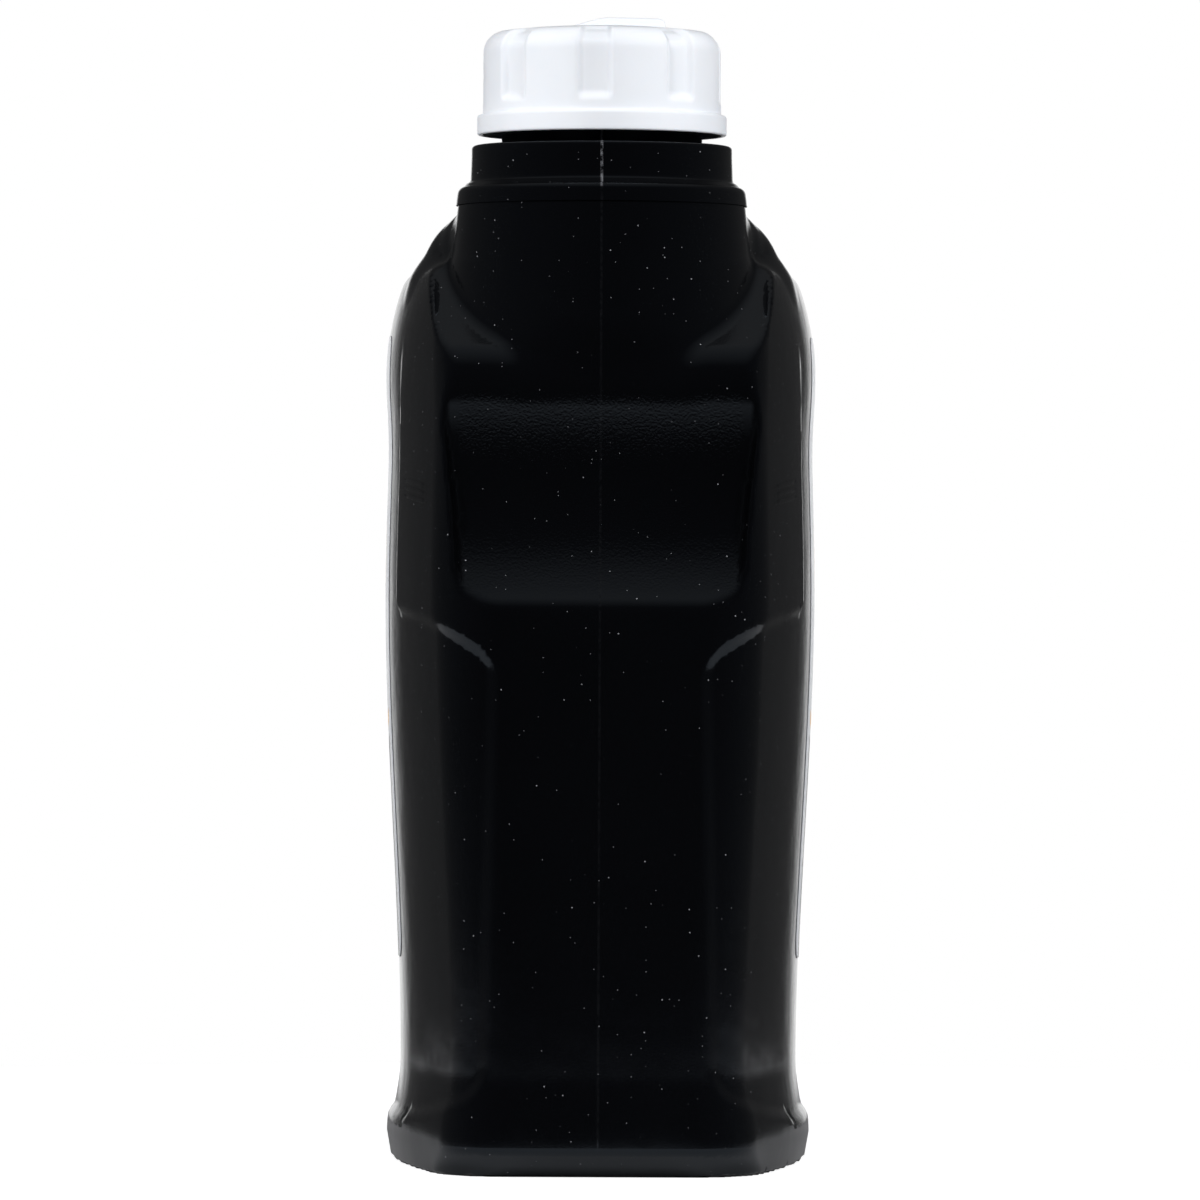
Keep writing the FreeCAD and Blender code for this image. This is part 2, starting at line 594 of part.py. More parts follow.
def make_labels():
    """Two films on the panel floors, each with rounded corners and a slanted rear upper edge."""
    seat = size("panel_recess") - size("label_seat")
    skin = cut(
        "LabelSkin", body_block("LabelOuter", seat - size("label_film"), 0.0),
        body_block("LabelInner", seat, 0.0))
    slope_rear = "Sizes.body_length / 2 - Sizes.panel_slope_margin - Sizes.label_slope_margin"
    rear = "Sizes.body_length / 2 - Sizes.panel_rear_margin - Sizes.label_margin"
    top = "Sizes.panel_top - Sizes.label_margin"
    front = f"{FRONT} + Sizes.label_setback"
    corners = [
        (front, "Sizes.label_bottom"),
        (rear, "Sizes.label_bottom"),
        (rear, f"Sizes.slope_start + ({slope_rear} - ({rear})) / Sizes.slope_run"),
        (f"{slope_rear} - Sizes.slope_run * ({top} - Sizes.slope_start)", top),
        (front, top),
    ]
    labels = []
    for node, start in (("label_left", f"-{REACH}"), ("label_right", "0")):
        field = prism(f"{node}_field", "x", corners, f"{REACH} mm", start)
        doc.recompute()
        rounded = doc.addObject("Part::Fillet", f"{node}_rounded")
        rounded.Base = field
        radius = size("label_corner")
        rounded.Edges = [
            (number, radius, radius) for number, edge in enumerate(field.Shape.Edges, start=1)
            if abs(edge.tangentAt(edge.FirstParameter).x) > 0.99
        ]
        labels.append(common(node, skin, rounded))
    return labels


# The screw cap: a turned form with flutes and a wedge to grip.
def origin_plane(body, role):
    return next(part for part in body.Origin.OriginFeatures if part.Role == role)


def body_sketch(body, name, role):
    sketch = body.newObject("Sketcher::SketchObject", name)
    sketch.AttachmentSupport = [(origin_plane(body, role), "")]
    sketch.MapMode = "FlatFace"
    return sketch


def make_cap():
    body = doc.addObject("PartDesign::Body", "screw_cap")
    bind(body, Placement__Base__y=NECK)
    profile = body_sketch(body, "CapSection", "XZ_Plane")
    skirt = "Sizes.cap_radius - Sizes.cap_wall"
    thread_skirt = "Sizes.bead_radius + Sizes.thread_skirt_clearance"
    roof = "Sizes.mouth_height + Sizes.liner_thickness"
    thread_skirt_outer = f"{thread_skirt} + Sizes.thread_skirt_wall"
    thread_skirt_edge = f"{RIM} + Sizes.thread_skirt_rise"
    gap_roof = f"{DOME} - Sizes.cap_gap_roof"
    flange_inner = "Sizes.cap_flange_radius - Sizes.cap_flange_wall"
    flange_top = f"{RIM} + Sizes.cap_flange_height"
    draw_outline(profile, [
        (flange_inner, RIM),
        ("Sizes.cap_flange_radius", RIM),
        ("Sizes.cap_flange_radius", flange_top),
        ("Sizes.cap_radius", f"{flange_top} + Sizes.cap_flange_bevel"),
        ("Sizes.cap_radius", f"{DOME} - Sizes.cap_shoulder_height"),
        ("Sizes.cap_shoulder_radius", f"{DOME} - Sizes.cap_dome_rise"),
        ("0", DOME),
        ("0", roof),
        (thread_skirt, roof),
        (thread_skirt, thread_skirt_edge),
        (thread_skirt_outer, thread_skirt_edge),
        (thread_skirt_outer, gap_roof),
        (skirt, gap_roof),
        (skirt, flange_top),
        (flange_inner, f"{flange_top} - Sizes.cap_flange_roof"),
    ], bulges={4: "Sizes.cap_shoulder_arc", 5: "Sizes.cap_dome_arc"})
    turned = body.newObject("PartDesign::Revolution", "CapTurned")
    turned.Profile = profile
    turned.ReferenceAxis = (profile, ["V_Axis"])
    turned.Angle = 360
    flute = body_sketch(body, "FluteCircle", "XY_Plane")
    bind(flute, AttachmentOffset__Base__z=f"{RIM} + Sizes.flute_start")
    away = "(Sizes.cap_radius - Sizes.flute_depth + Sizes.flute_radius)"
    angle = "(Sizes.flute_first_angle * 1 deg)"
    centre = (f"{away} * cos{angle}", f"{away} * sin{angle}")
    place_x, place_y = (flute.evalExpression(text) for text in centre)
    flute.addGeometry(Part.Circle(VECTOR(place_x, place_y, 0), VECTOR(0, 0, 1), size("flute_radius")), False)
    for kind, text, value in (("DistanceX", centre[0], place_x), ("DistanceY", centre[1], place_y)):
        number = flute.addConstraint(Sketcher.Constraint(kind, -1, 1, 0, 3, value))
        flute.setExpression(f"Constraints[{number}]", text)
    number = flute.addConstraint(Sketcher.Constraint("Radius", 0, size("flute_radius")))
    flute.setExpression(f"Constraints[{number}]", "Sizes.flute_radius")
    doc.recompute()
    groove = body.newObject("PartDesign::Pocket", "Flute")
    groove.Profile = flute
    groove.Reversed = True
    bind(groove, Length=f"{DOME} - {RIM}")
    doc.recompute()
    ring = body.newObject("PartDesign::PolarPattern", "Flutes")
    ring.Originals = [groove]
    ring.Axis = (flute, ["N_Axis"])
    ring.Angle = 360
    ring.Occurrences = FLUTES
    body.Tip = ring
    doc.recompute()
    wedge = body_sketch(body, "WedgeSection", "XZ_Plane")
    base = f"{DOME} - Sizes.cap_dome_rise"
    ridge = f"{DOME} + Sizes.wedge_height"
    steep_end = "Sizes.wedge_length - Sizes.wedge_offset"
    draw_outline(wedge, [
        ("-Sizes.wedge_offset", base),
        (steep_end, base),
        (f"{steep_end} - Sizes.wedge_end_lean", f"{ridge} - Sizes.wedge_end_drop"),
        ("Sizes.wedge_ramp - Sizes.wedge_offset", ridge),
        ("-Sizes.wedge_offset", f"{DOME} - Sizes.wedge_end_drop"),
    ])
    bar = body.newObject("PartDesign::Pad", "Wedge")
    bar.Profile = wedge
    bar.SideType = "Symmetric"
    bind(bar, Length="Sizes.wedge_width")
    body.Tip = bar
    return body


def make_liner():
    """The foam disc that the cap presses on the rim of the mouth."""
    return neck_axis_cylinder(
        "cap_liner", "Sizes.bead_radius + Sizes.thread_skirt_clearance - Sizes.liner_clearance",
        "Sizes.liner_thickness", "Sizes.mouth_height")


nodes = [make_bottle(), make_cap(), make_liner(), *make_labels(), make_oil()]
for node in nodes:
    node.Label = node.Name
doc.recompute()

failed = [part.Name for part in doc.Objects if {"Invalid", "Error"} & set(part.State)]
if failed:
    raise SystemExit(f"these objects failed: {failed}")
for node in nodes:
    if node.Shape.isNull() or not node.Shape.isValid() or not node.Shape.Solids:
        raise SystemExit(f"{node.Name} has no valid solid")

os.makedirs("parts", exist_ok=True)
for node in nodes:
    node.Shape.exportStep(f"parts/{node.Name}.step")
    print(f"{node.Name}: {len(node.Shape.Solids)} solid, {node.Shape.Volume / 1000:.1f} cubic centimetres")
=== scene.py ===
import math

import bpy
import numpy as np
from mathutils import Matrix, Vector

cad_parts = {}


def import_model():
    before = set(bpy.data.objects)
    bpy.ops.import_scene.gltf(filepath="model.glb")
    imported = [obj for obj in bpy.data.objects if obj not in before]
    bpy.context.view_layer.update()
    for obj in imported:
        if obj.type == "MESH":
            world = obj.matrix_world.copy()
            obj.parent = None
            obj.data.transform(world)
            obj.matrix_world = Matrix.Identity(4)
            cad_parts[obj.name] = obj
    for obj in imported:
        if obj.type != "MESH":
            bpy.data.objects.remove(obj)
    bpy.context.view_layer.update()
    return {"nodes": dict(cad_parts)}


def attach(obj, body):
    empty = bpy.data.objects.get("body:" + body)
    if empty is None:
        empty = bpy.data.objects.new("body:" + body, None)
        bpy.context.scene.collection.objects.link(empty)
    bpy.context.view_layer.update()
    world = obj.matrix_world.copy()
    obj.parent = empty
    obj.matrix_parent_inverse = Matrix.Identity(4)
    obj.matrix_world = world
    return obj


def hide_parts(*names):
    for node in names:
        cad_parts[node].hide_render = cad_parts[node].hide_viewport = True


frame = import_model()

MM = 0.001

# Sizes in millimetres. They are the part's own, but the recess, the ramp and the grip are softer.
HALF_LENGTH = 114.0
FOOT_HALF, WAIST_HALF, BELLY_HALF = 58.2, 56.1, 60.6
FOOT_EDGE, WAIST, BELLY, SHOULDER, TOP = 7.0, 27.0, 155.0, 205.0, 244.0
SIDE_BOW, CORNER, TOP_CORNER = 324.0, 20.0, 5.0
FOOT_SIDE_TUCK, FOOT_END_TUCK, WAIST_END_TUCK = 1.2, 9.0, 1.2
NECK_TAPER, SHOULDER_DROP, SHOULDER_DEPTH = 0.9, 42.0, 12.0
BROW_START, BROW_DROP, BROW_DEPTH = 197.0, 51.0, 37.0
SLOPE_START, SLOPE_RUN, SLOPE_SOFT = 120.0, 0.75, 6.0
RECESS, RECESS_STEP, RECESS_FADE_Z, RECESS_FADE = 1.6, 4.2, 190.0, 36.0
SPINE_LOW, SPINE_HIGH = 30.7, 28.2
PANEL_LOW_INNER, PANEL_LOW_OUTER, PANEL_HIGH_INNER, PANEL_HIGH_OUTER = 25.0, 13.0, 137.0, 151.0
PANEL_FRONT, PANEL_TOP, PANEL_REAR, PANEL_LAP, SLOPE_MARGIN = 58.0, 229.0, 92.0, 4.0, 12.0
PANEL_CORNER, SIDE_CORNER, SLOPE_CORNER, SIDE_FOOT_CORNER = 5.0, 9.0, 6.0, 3.0
NECK_Y = -64.0
CONE_LOW_Z, CONE_LOW_R, CONE_TOP_Z, CONE_TOP_R, CONE_SUNK = 196.0, 45.8, 263.4, 38.7, 2.0
GRIP_R, GRIP_Z, GRIP_DEPTH, GRIP_STRETCH = 45.0, 183.5, 14.5, 0.89
GRIP_LOW, GRIP_HIGH, LIP_Z = 36.5, 46.0, 151.0
RAMP_Y, RAMP_Z, RAMP_ANGLE = -108.0, 211.0, math.radians(35.4)
RAMP_RISE, RAMP_HALF, RAMP_ROUND = 0.15, 26.0, 3.0
HOOD_HALF, HOOD_TOP, HOOD_DEPTH, HOOD_FRONT, HOOD_RUN = 55.0, 260.0, 22.0, 66.0, 104.0
NOSE, NOSE_NARROW, NOSE_THIN = 34.0, 0.30, 0.18
HANDLE_HALF, HANDLE_DEPTH, HANDLE_TOP, HANDLE_BEND, HANDLE_GAP = 17.5, 12.5, 257.5, 52.0, 0.6
HANDLE_FOOT, HANDLE_ROUNDNESS = 100.0, 0.94
HANDLE_REAR = HALF_LENGTH - HANDLE_GAP - HANDLE_DEPTH
BEND_Y, BEND_Z = HANDLE_REAR - HANDLE_BEND, HANDLE_TOP - HANDLE_DEPTH - HANDLE_BEND
COLLAR_R, COLLAR_TOP, STEP = 35.1, 275.0, 3.3
BEAD_R, BEAD_H, FINISH_R, MOUTH_Z, BORE_R = 27.0, 3.2, 25.4, 303.0, 22.6
THREAD_PITCH, THREAD_HEIGHT, THREAD_FADE = 5.0, 1.35, 1.2
THREAD_LOW, THREAD_HIGH = COLLAR_TOP + BEAD_H + 3.0, MOUTH_Z - 3.5
NECK_COLUMNS, NECK_ROWS = 180, 56
CAP_BOTTOM, CAP_TOP, CAP_ROOF = 277.9, 307.3, MOUTH_Z + 1.0
CAP_R, CAP_WALL, CAP_GAP_TOP, CAP_COLUMNS = 32.1, 2.5, 300.5, 384
FLANGE_R, FLANGE_H, FLANGE_WALL = 33.6, 5.4, 1.4
SKIRT_R, SKIRT_WALL, SKIRT_HANG = BEAD_R + 0.4, 1.3, 3.4
FLUTES, FLUTE_ANGLE, FLUTE_HALF = 8, math.radians(41.5), math.radians(8.0)
FLUTE_DEPTH, FLUTE_DROP, FLUTE_START, FLUTE_R = 1.45, 0.9, 8.0, 24.0
LABEL_LOW, LABEL_HIGH, LABEL_FRONT, LABEL_REAR = 55.0, PANEL_TOP - 4.0, -30.0, PANEL_REAR - 4.0
LABEL_CORNER, LABEL_SLOPE_MARGIN, LABEL_SOFT = 7.0, 5.2, 2.0
OIL_GAP = 1.0

# Radii of the soft joins between the body's forms.
NECK_BLEND, RIDGE_BLEND, WALL_BLEND, HANDLE_BLEND = 2.5, 11.0, 1.6, 6.0


# Smooth joins of distances: k is the radius of the blend in millimetres.
def round_max(a, b, k):
    over = np.hypot(np.maximum(a + k, 0.0), np.maximum(b + k, 0.0))
    return np.minimum(np.maximum(a, b), -k) + over


def round_min(a, b, k):
    return -round_max(-a, -b, k)


def smooth_step(share):
    share = np.clip(share, 0.0, 1.0)
    return share * share * (3.0 - 2.0 * share)


def ellipse_drop(z, start, rise, depth):
    share = np.clip((z - start) / rise, 0.0, 0.985)
    return depth * (1.0 - np.sqrt(1.0 - share * share))


def half_width(z):
    foot = FOOT_HALF - FOOT_SIDE_TUCK * np.clip(1.0 - z / FOOT_EDGE, 0.0, 1.0)
    waist = (WAIST_HALF - FOOT_HALF) * smooth_step((z - FOOT_EDGE) / (WAIST - FOOT_EDGE))
    belly = (BELLY_HALF - WAIST_HALF) * smooth_step((z - WAIST) / (BELLY - WAIST))
    taper = NECK_TAPER * smooth_step((z - BELLY) / (SHOULDER - BELLY))
    return foot + waist + belly - taper - ellipse_drop(z, SHOULDER, SHOULDER_DROP, SHOULDER_DEPTH)


def end_reach(z):
    foot = HALF_LENGTH - FOOT_END_TUCK * np.clip(1.0 - z / FOOT_EDGE, 0.0, 1.0)
    return foot - WAIST_END_TUCK * smooth_step((z - FOOT_EDGE) / (WAIST - FOOT_EDGE))


def front_reach(z):
    return end_reach(z) - ellipse_drop(z, BROW_START, BROW_DROP, BROW_DEPTH)


def rear_reach(z):
    rise = (z - SLOPE_START) / SLOPE_SOFT
    return end_reach(z) - SLOPE_RUN * SLOPE_SOFT * np.logaddexp(0.0, rise)


def plan_corner(across, along, bow_x, reach):
    """Distance to one end of the plan: a bowed side, a flat end and the corner between them."""
    centre = reach - CORNER
    corner_x = bow_x + np.sqrt(np.maximum((SIDE_BOW - CORNER) ** 2 - centre ** 2, 1.0))
    turn = (corner_x - bow_x) * (along - centre) - centre * (across - corner_x)
    at_corner = (across > corner_x) & (turn > 0) & (along > centre)
    side = np.hypot(across - bow_x, along) - SIDE_BOW
    flat = np.maximum(side, along - reach)
    return np.where(at_corner, np.hypot(across - corner_x, along - centre) - CORNER, flat)


def trunk(x, y, z):
    """Distance to the body's raised form, without its grip, neck and handle."""
    across = np.abs(x)
    bow_x = half_width(z) - SIDE_BOW
    front = plan_corner(across, -y, bow_x, front_reach(z))
    rear = plan_corner(across, y, bow_x, rear_reach(z))
    return round_max(np.maximum(front, rear), z - TOP, TOP_CORNER)


def line_through(u, v, u0, v0, u1, v1):
    """Signed distance of (u, v) to the left of a line from one point to another."""
    length = math.hypot(u1 - u0, v1 - v0)
    return ((u1 - u0) * (v - v0) - (v1 - v0) * (u - u0)) / length


def panel_mask(x, y, z):
    """Negative inside the fields where the label panels lie."""
    width = np.abs(x)
    outer = FOOT_HALF + 5.0
    curve = np.clip((width - SPINE_HIGH) / (outer - SPINE_HIGH), 0.0, 1.0)
    high = PANEL_HIGH_INNER + (PANEL_HIGH_OUTER - PANEL_HIGH_INNER) * np.sin(curve * math.pi / 2)
    low = PANEL_LOW_INNER + (PANEL_LOW_OUTER - PANEL_LOW_INNER) * np.sin(curve * math.pi / 2)
    spine = line_through(width, z, SPINE_LOW, PANEL_LOW_INNER, SPINE_HIGH, PANEL_HIGH_INNER)
    front = round_max(round_max(spine, z - high, PANEL_CORNER), low - z, PANEL_CORNER)
    front = np.maximum(front, y + PANEL_FRONT - PANEL_LAP)
    slope_rear = y - (HALF_LENGTH - SLOPE_MARGIN - SLOPE_RUN * (z - SLOPE_START))
    slope_rear = slope_rear / math.hypot(1.0, SLOPE_RUN)
    side = round_max(-y - PANEL_FRONT, z - PANEL_TOP, SIDE_CORNER)
    side = round_max(side, PANEL_LOW_OUTER - z, SIDE_FOOT_CORNER)
    side = round_max(side, round_max(y - PANEL_REAR, slope_rear, SIDE_CORNER), SLOPE_CORNER)
    return round_min(front, side, SIDE_FOOT_CORNER)


def handle_line(y, z):
    """Distance to the handle's centre line in its plane, and the share of the hood's run."""
    share = smooth_step((y + HOOD_FRONT) / HOOD_RUN)
    centre_z = (HOOD_TOP - HOOD_DEPTH) * (1 - share) + (HANDLE_TOP - HANDLE_DEPTH) * share
    across_top = z - centre_z
    across_bend = np.hypot(y - BEND_Y, z - BEND_Z) - HANDLE_BEND
    across_rear = y - HANDLE_REAR
    across = np.where(y < BEND_Y, across_top, np.where(z > BEND_Z, across_bend, across_rear))
    return across, np.where(y < BEND_Y, share, 1.0)


def handle(x, y, z):
    """Distance to the hood behind the neck, which narrows into the handle."""
    across, share = handle_line(y, z)
    nose = np.clip((-y - HOOD_FRONT + NOSE) / NOSE, 0.0, 1.0)
    half = HOOD_HALF + (HANDLE_HALF - HOOD_HALF) * share
    half = half * (1.0 - NOSE_NARROW * nose * nose)
    depth = HOOD_DEPTH + (HANDLE_DEPTH - HOOD_DEPTH) * share
    depth = depth * (1.0 - NOSE_THIN * nose * nose)
    corner = HANDLE_ROUNDNESS * np.minimum(half, depth)
    beside = np.abs(x) - half + corner
    above = np.abs(across) - depth + corner
    outside = np.hypot(np.maximum(beside, 0.0), np.maximum(above, 0.0))
    tube = outside + np.minimum(np.maximum(beside, above), 0.0) - corner
    return np.maximum(np.maximum(tube, -y - HOOD_FRONT), HANDLE_FOOT - z)


def core(x, z):
    """Negative between the cheeks."""
    half = GRIP_LOW + (GRIP_HIGH - GRIP_LOW) * (z - LIP_Z) / (TOP - LIP_Z)
    return np.abs(x) - half


def ramp(x, y, z):
    """Negative above the shoulder ramp, which dips in the middle."""
    width = np.minimum(np.hypot(x, RAMP_ROUND) - RAMP_ROUND, RAMP_HALF)
    foot = RAMP_Z + RAMP_RISE * width
    return (foot - z) * math.cos(RAMP_ANGLE) + (y - RAMP_Y) * math.sin(RAMP_ANGLE)


def cone(x, y, z):
    """Distance to the cone under the collar, which ends a little inside it."""
    share = (z - CONE_LOW_Z) / (CONE_TOP_Z - CONE_LOW_Z)
    radius = CONE_LOW_R + (CONE_TOP_R - CONE_LOW_R) * share
    ends = np.maximum(z - CONE_TOP_Z + CONE_SUNK, CONE_LOW_Z - z)
    return np.maximum(np.hypot(x, y - NECK_Y) - radius, ends)


def bottle_distance(x, y, z):
    """Distance to the outside of the blown bottle below its collar."""
    form = trunk(x, y, z)
    inside_panel = smooth_step(0.5 - panel_mask(x, y, z) / RECESS_STEP)
    fading = 1.0 - smooth_step((z - RECESS_FADE_Z) / RECESS_FADE)
    form = form + RECESS * inside_panel * fading
    neck = cone(x, y, z)
    height = (z - GRIP_Z) * np.where(z > GRIP_Z, GRIP_STRETCH, 1.0)
    grip = np.hypot(y + HALF_LENGTH - GRIP_DEPTH + GRIP_R, height) - GRIP_R
    above = round_max(ramp(x, y, z), -neck, NECK_BLEND)
    scoop = round_max(core(x, z), round_min(above, grip, RIDGE_BLEND), WALL_BLEND)
    form = round_max(round_min(form, neck, NECK_BLEND), -scoop, WALL_BLEND)
    form = round_min(form, handle(x, y, z), HANDLE_BLEND)
    return np.maximum(form, -z)


def gradient(points, step=0.05):
    """Outward direction and steepness of the distance at each point."""
    result = np.empty_like(points)
    for axis in range(3):
        shift = np.zeros(3)
        shift[axis] = step
        ahead = bottle_distance(*(points + shift).T)
        behind = bottle_distance(*(points - shift).T)
        result[:, axis] = (ahead - behind) / (2 * step)
    return result


def settle(points, rounds=6, most=4.0):
    """Moves points onto the surface along the steepest line."""
    for _ in range(rounds):
        value = bottle_distance(*points.T)
        slope = gradient(points)
        steep = np.maximum((slope ** 2).sum(axis=1), 0.05)
        move = np.clip(value / steep, -most, most)
        points = points - slope * move[:, None]
    points[:, 2] = np.maximum(points[:, 2], 0.0)
    return points


# Meshes
def new_object(name, mesh):
    thing = bpy.data.objects.new(name, mesh)
    bpy.context.scene.collection.objects.link(thing)
    return thing


def mesh_from(name, points, faces, smooth=True):
    """A mesh from points in millimetres."""
    mesh = bpy.data.meshes.new(name)
    corners = [tuple(int(i) for i in face) for face in faces]
    mesh.from_pydata((np.asarray(points) * MM).tolist(), [], corners)
    mesh.update()
    if smooth:
        mesh.polygons.foreach_set("use_smooth", [True] * len(mesh.polygons))
    return mesh


def append_mesh(points, faces, more_points, more_faces):
    first = len(points)
    points.extend(tuple(point) for point in more_points)
    faces.extend(tuple(first + i for i in face) for face in more_faces)


def grid_faces(rows, columns, closed=False, first=0):
    """Faces between rows of points, where a closed row runs round to its start."""
    faces = []
    for row in range(rows - 1):
        for column in range(columns if closed else columns - 1):
            after = (column + 1) % columns
            faces.append((
                first + row * columns + column, first + row * columns + after,
                first + (row + 1) * columns + after, first + (row + 1) * columns + column))
    return faces


def mesh_points(mesh):
    flat = np.empty(len(mesh.vertices) * 3)
    mesh.vertices.foreach_get("co", flat)
    return flat.reshape(-1, 3) / MM


def set_points(mesh, points):
    mesh.vertices.foreach_set("co", (points * MM).ravel())
    mesh.update()


def closed_tube(points, columns, inward=False):
    """Rings of points as a tube with closed ends."""
    rows = len(points) // columns
    low = tuple(range(columns))
    high = tuple((rows - 1) * columns + i for i in range(columns))
    ends = [low, high[::-1]] if inward else [low[::-1], high]
    return points, grid_faces(rows, columns, closed=True) + ends


# The skin starts as three rough closed forms, which are joined and remeshed.
ROUGH_TURNS = np.linspace(0, 2 * math.pi, 72, endpoint=False)
ROUGH_POWER = 0.55
REAR_LEAST = 6.0


def rough_trunk():
    points = []
    for z in np.linspace(0.0, TOP, 40):
        for turn in ROUGH_TURNS:
            reach = front_reach(z) if math.sin(turn) < 0 else max(rear_reach(z), REAR_LEAST)
            x = half_width(z) * math.copysign(abs(math.cos(turn)) ** ROUGH_POWER, math.cos(turn))
            y = reach * math.copysign(abs(math.sin(turn)) ** ROUGH_POWER, math.sin(turn))
            points.append((x, y, z))
    return closed_tube(points, len(ROUGH_TURNS))


def rough_cone():
    points = []
    for z, radius in ((CONE_LOW_Z, CONE_LOW_R), (CONE_TOP_Z - CONE_SUNK, CONE_TOP_R)):
        for turn in ROUGH_TURNS:
            points.append((radius * math.cos(turn), NECK_Y + radius * math.sin(turn), z))
    return closed_tube(points, len(ROUGH_TURNS))


def rough_handle():
    """A flat tube along the hood, round the bend and down into the body."""
    stations = [(y, HANDLE_TOP - HANDLE_DEPTH, 0.0) for y in np.linspace(-HOOD_FRONT, BEND_Y, 12)]
    for lean in np.linspace(0.15, math.pi / 2, 10):
        y = BEND_Y + HANDLE_BEND * math.sin(lean)
        z = BEND_Z + HANDLE_BEND * math.cos(lean)
        stations.append((y, z, lean))
    stations += [(HANDLE_REAR, z, math.pi / 2) for z in np.linspace(BEND_Z - 8, HANDLE_FOOT + 4.0, 10)]
    points = []
    for y, z, lean in stations:
        share = float(smooth_step((y + HOOD_FRONT) / HOOD_RUN)) if y < BEND_Y else 1.0
        half = (HOOD_HALF + (HANDLE_HALF - HOOD_HALF) * share) * 0.95
        for turn in ROUGH_TURNS:
            up = HANDLE_DEPTH * math.sin(turn)
            points.append((half * math.cos(turn), y + up * math.sin(lean), z + up * math.cos(lean)))
    return closed_tube(points, len(ROUGH_TURNS), inward=True)


def rough_bottle():
    points, faces = [], []
    for form in (rough_trunk(), rough_cone(), rough_handle()):
        append_mesh(points, faces, *form)
    return mesh_from("rough", points, faces)


def remeshed(mesh, voxel):
    """The same form with an even mesh."""
    thing = new_object("remesh", mesh)
    modifier = thing.modifiers.new("Remesh", "REMESH")
    modifier.mode = "VOXEL"
    modifier.voxel_size = voxel * MM
    depsgraph = bpy.context.evaluated_depsgraph_get()
    fresh = bpy.data.meshes.new_from_object(thing.evaluated_get(depsgraph))
    bpy.data.objects.remove(thing)
    return fresh


def keep_foot_edge(points, reach):
    """Brings the points beside the sharp edge round the foot onto it."""
    near = np.abs(points[:, 2] - FOOT_EDGE) < reach
    edge = points[near]
    for _ in range(5):
        edge[:, 2] = FOOT_EDGE
        slope = gradient(edge)
        slope[:, 2] = 0.0
        value = bottle_distance(*edge.T)
        edge = edge - slope * (value / np.maximum((slope ** 2).sum(axis=1), 0.2))[:, None]
    points[near] = edge
    return points


def bottle_skin():
    """The blown skin: an even mesh that is settled on the formula, finer at each pass."""
    mesh = rough_bottle()
    for voxel in (3.2, 2.2, 1.5):
        mesh = remeshed(mesh, voxel)
        set_points(mesh, settle(mesh_points(mesh)))
    set_points(mesh, keep_foot_edge(mesh_points(mesh), 0.73))
    return mesh


def arc(centre, radius, start, end, steps=6):
    """Points of an arc in a profile, angles in degrees."""
    return [
        (centre[0] + radius * math.cos(math.radians(a)), centre[1] + radius * math.sin(math.radians(a)))
        for a in np.linspace(start, end, steps)]


def neck_profile():
    """From the cone's end over the collar and the bead to the rim, and down the bore."""
    step_top = CONE_TOP_Z + STEP
    slope = (CONE_LOW_R - CONE_TOP_R) / (CONE_TOP_Z - CONE_LOW_Z)
    profile = [(CONE_TOP_R + slope * drop + 0.03, CONE_TOP_Z - drop) for drop in (4.5, 3.4, 2.4)]
    profile += arc((CONE_TOP_R - 2.0, CONE_TOP_Z - 1.6), 2.15, 2, 78, 8)
    profile += arc((COLLAR_R + 1.6, step_top - 0.6), 1.4, 260, 180, 5)
    profile += [(COLLAR_R + 0.15, step_top + 1.2), (COLLAR_R, COLLAR_TOP - 3.0)]
    profile += arc((COLLAR_R - 1.0, COLLAR_TOP - 1.0), 1.0, 0, 90)
    profile += [(BEAD_R + 1.0, COLLAR_TOP), (BEAD_R, COLLAR_TOP + 0.5)]
    profile += [(BEAD_R, COLLAR_TOP + BEAD_H - 0.6), (BEAD_R - 0.5, COLLAR_TOP + BEAD_H)]
    profile += [(FINISH_R, COLLAR_TOP + BEAD_H + 0.5)]
    profile += [(FINISH_R, z) for z in np.linspace(COLLAR_TOP + BEAD_H + 0.9, MOUTH_Z - 1.2, NECK_ROWS)]
    profile += arc((FINISH_R - 1.0, MOUTH_Z - 1.0), 1.0, 0, 90, 5)
    profile += arc((BORE_R + 0.6, MOUTH_Z - 0.6), 0.6, 90, 180, 5)
    profile += [(BORE_R, 290.0), (BORE_R, COLLAR_TOP - 2.0), (BORE_R + 8.0, COLLAR_TOP - 8.0)]
    return profile


def thread(radius, z, angle):
    """Adds the helical ridge to the neck between its bead and its rim."""
    if radius != FINISH_R:
        return radius
    phase = ((z - THREAD_LOW) / THREAD_PITCH - angle / (2 * math.pi)) % 1.0
    ridge = max(0.0, 1.0 - abs(phase - 0.5) / 0.22)
    start = min(1.0, max(0.0, (z - THREAD_LOW) / THREAD_FADE))
    end = min(1.0, max(0.0, (THREAD_HIGH - z) / THREAD_FADE))
    return radius + THREAD_HEIGHT * min(1.0, ridge * 1.6) * start * end


def threaded_neck():
    """The neck's profile turned round its axis."""
    profile = neck_profile()
    points = []
    for radius, z in profile:
        for column in range(NECK_COLUMNS):
            angle = 2 * math.pi * column / NECK_COLUMNS
            r = thread(radius, z, angle)
            points.append((r * math.cos(angle), NECK_Y + r * math.sin(angle), z))
    return points, grid_faces(len(profile), NECK_COLUMNS, closed=True)


def crossing(inside, outside, distance):
    """Halves the way from inside the bottle to outside it until both ends meet."""
    for _ in range(34):
        middle = (inside + outside) / 2
        beyond = distance(middle) > 0
        outside = np.where(beyond, middle, outside)
        inside = np.where(beyond, inside, middle)
    return (inside + outside) / 2


def surface_x(y, z):
    """Half width of the bottle's broad side at each y and z."""
    return crossing(np.full_like(y, 20.0), np.full_like(y, 70.0), lambda x: bottle_distance(x, y, z))


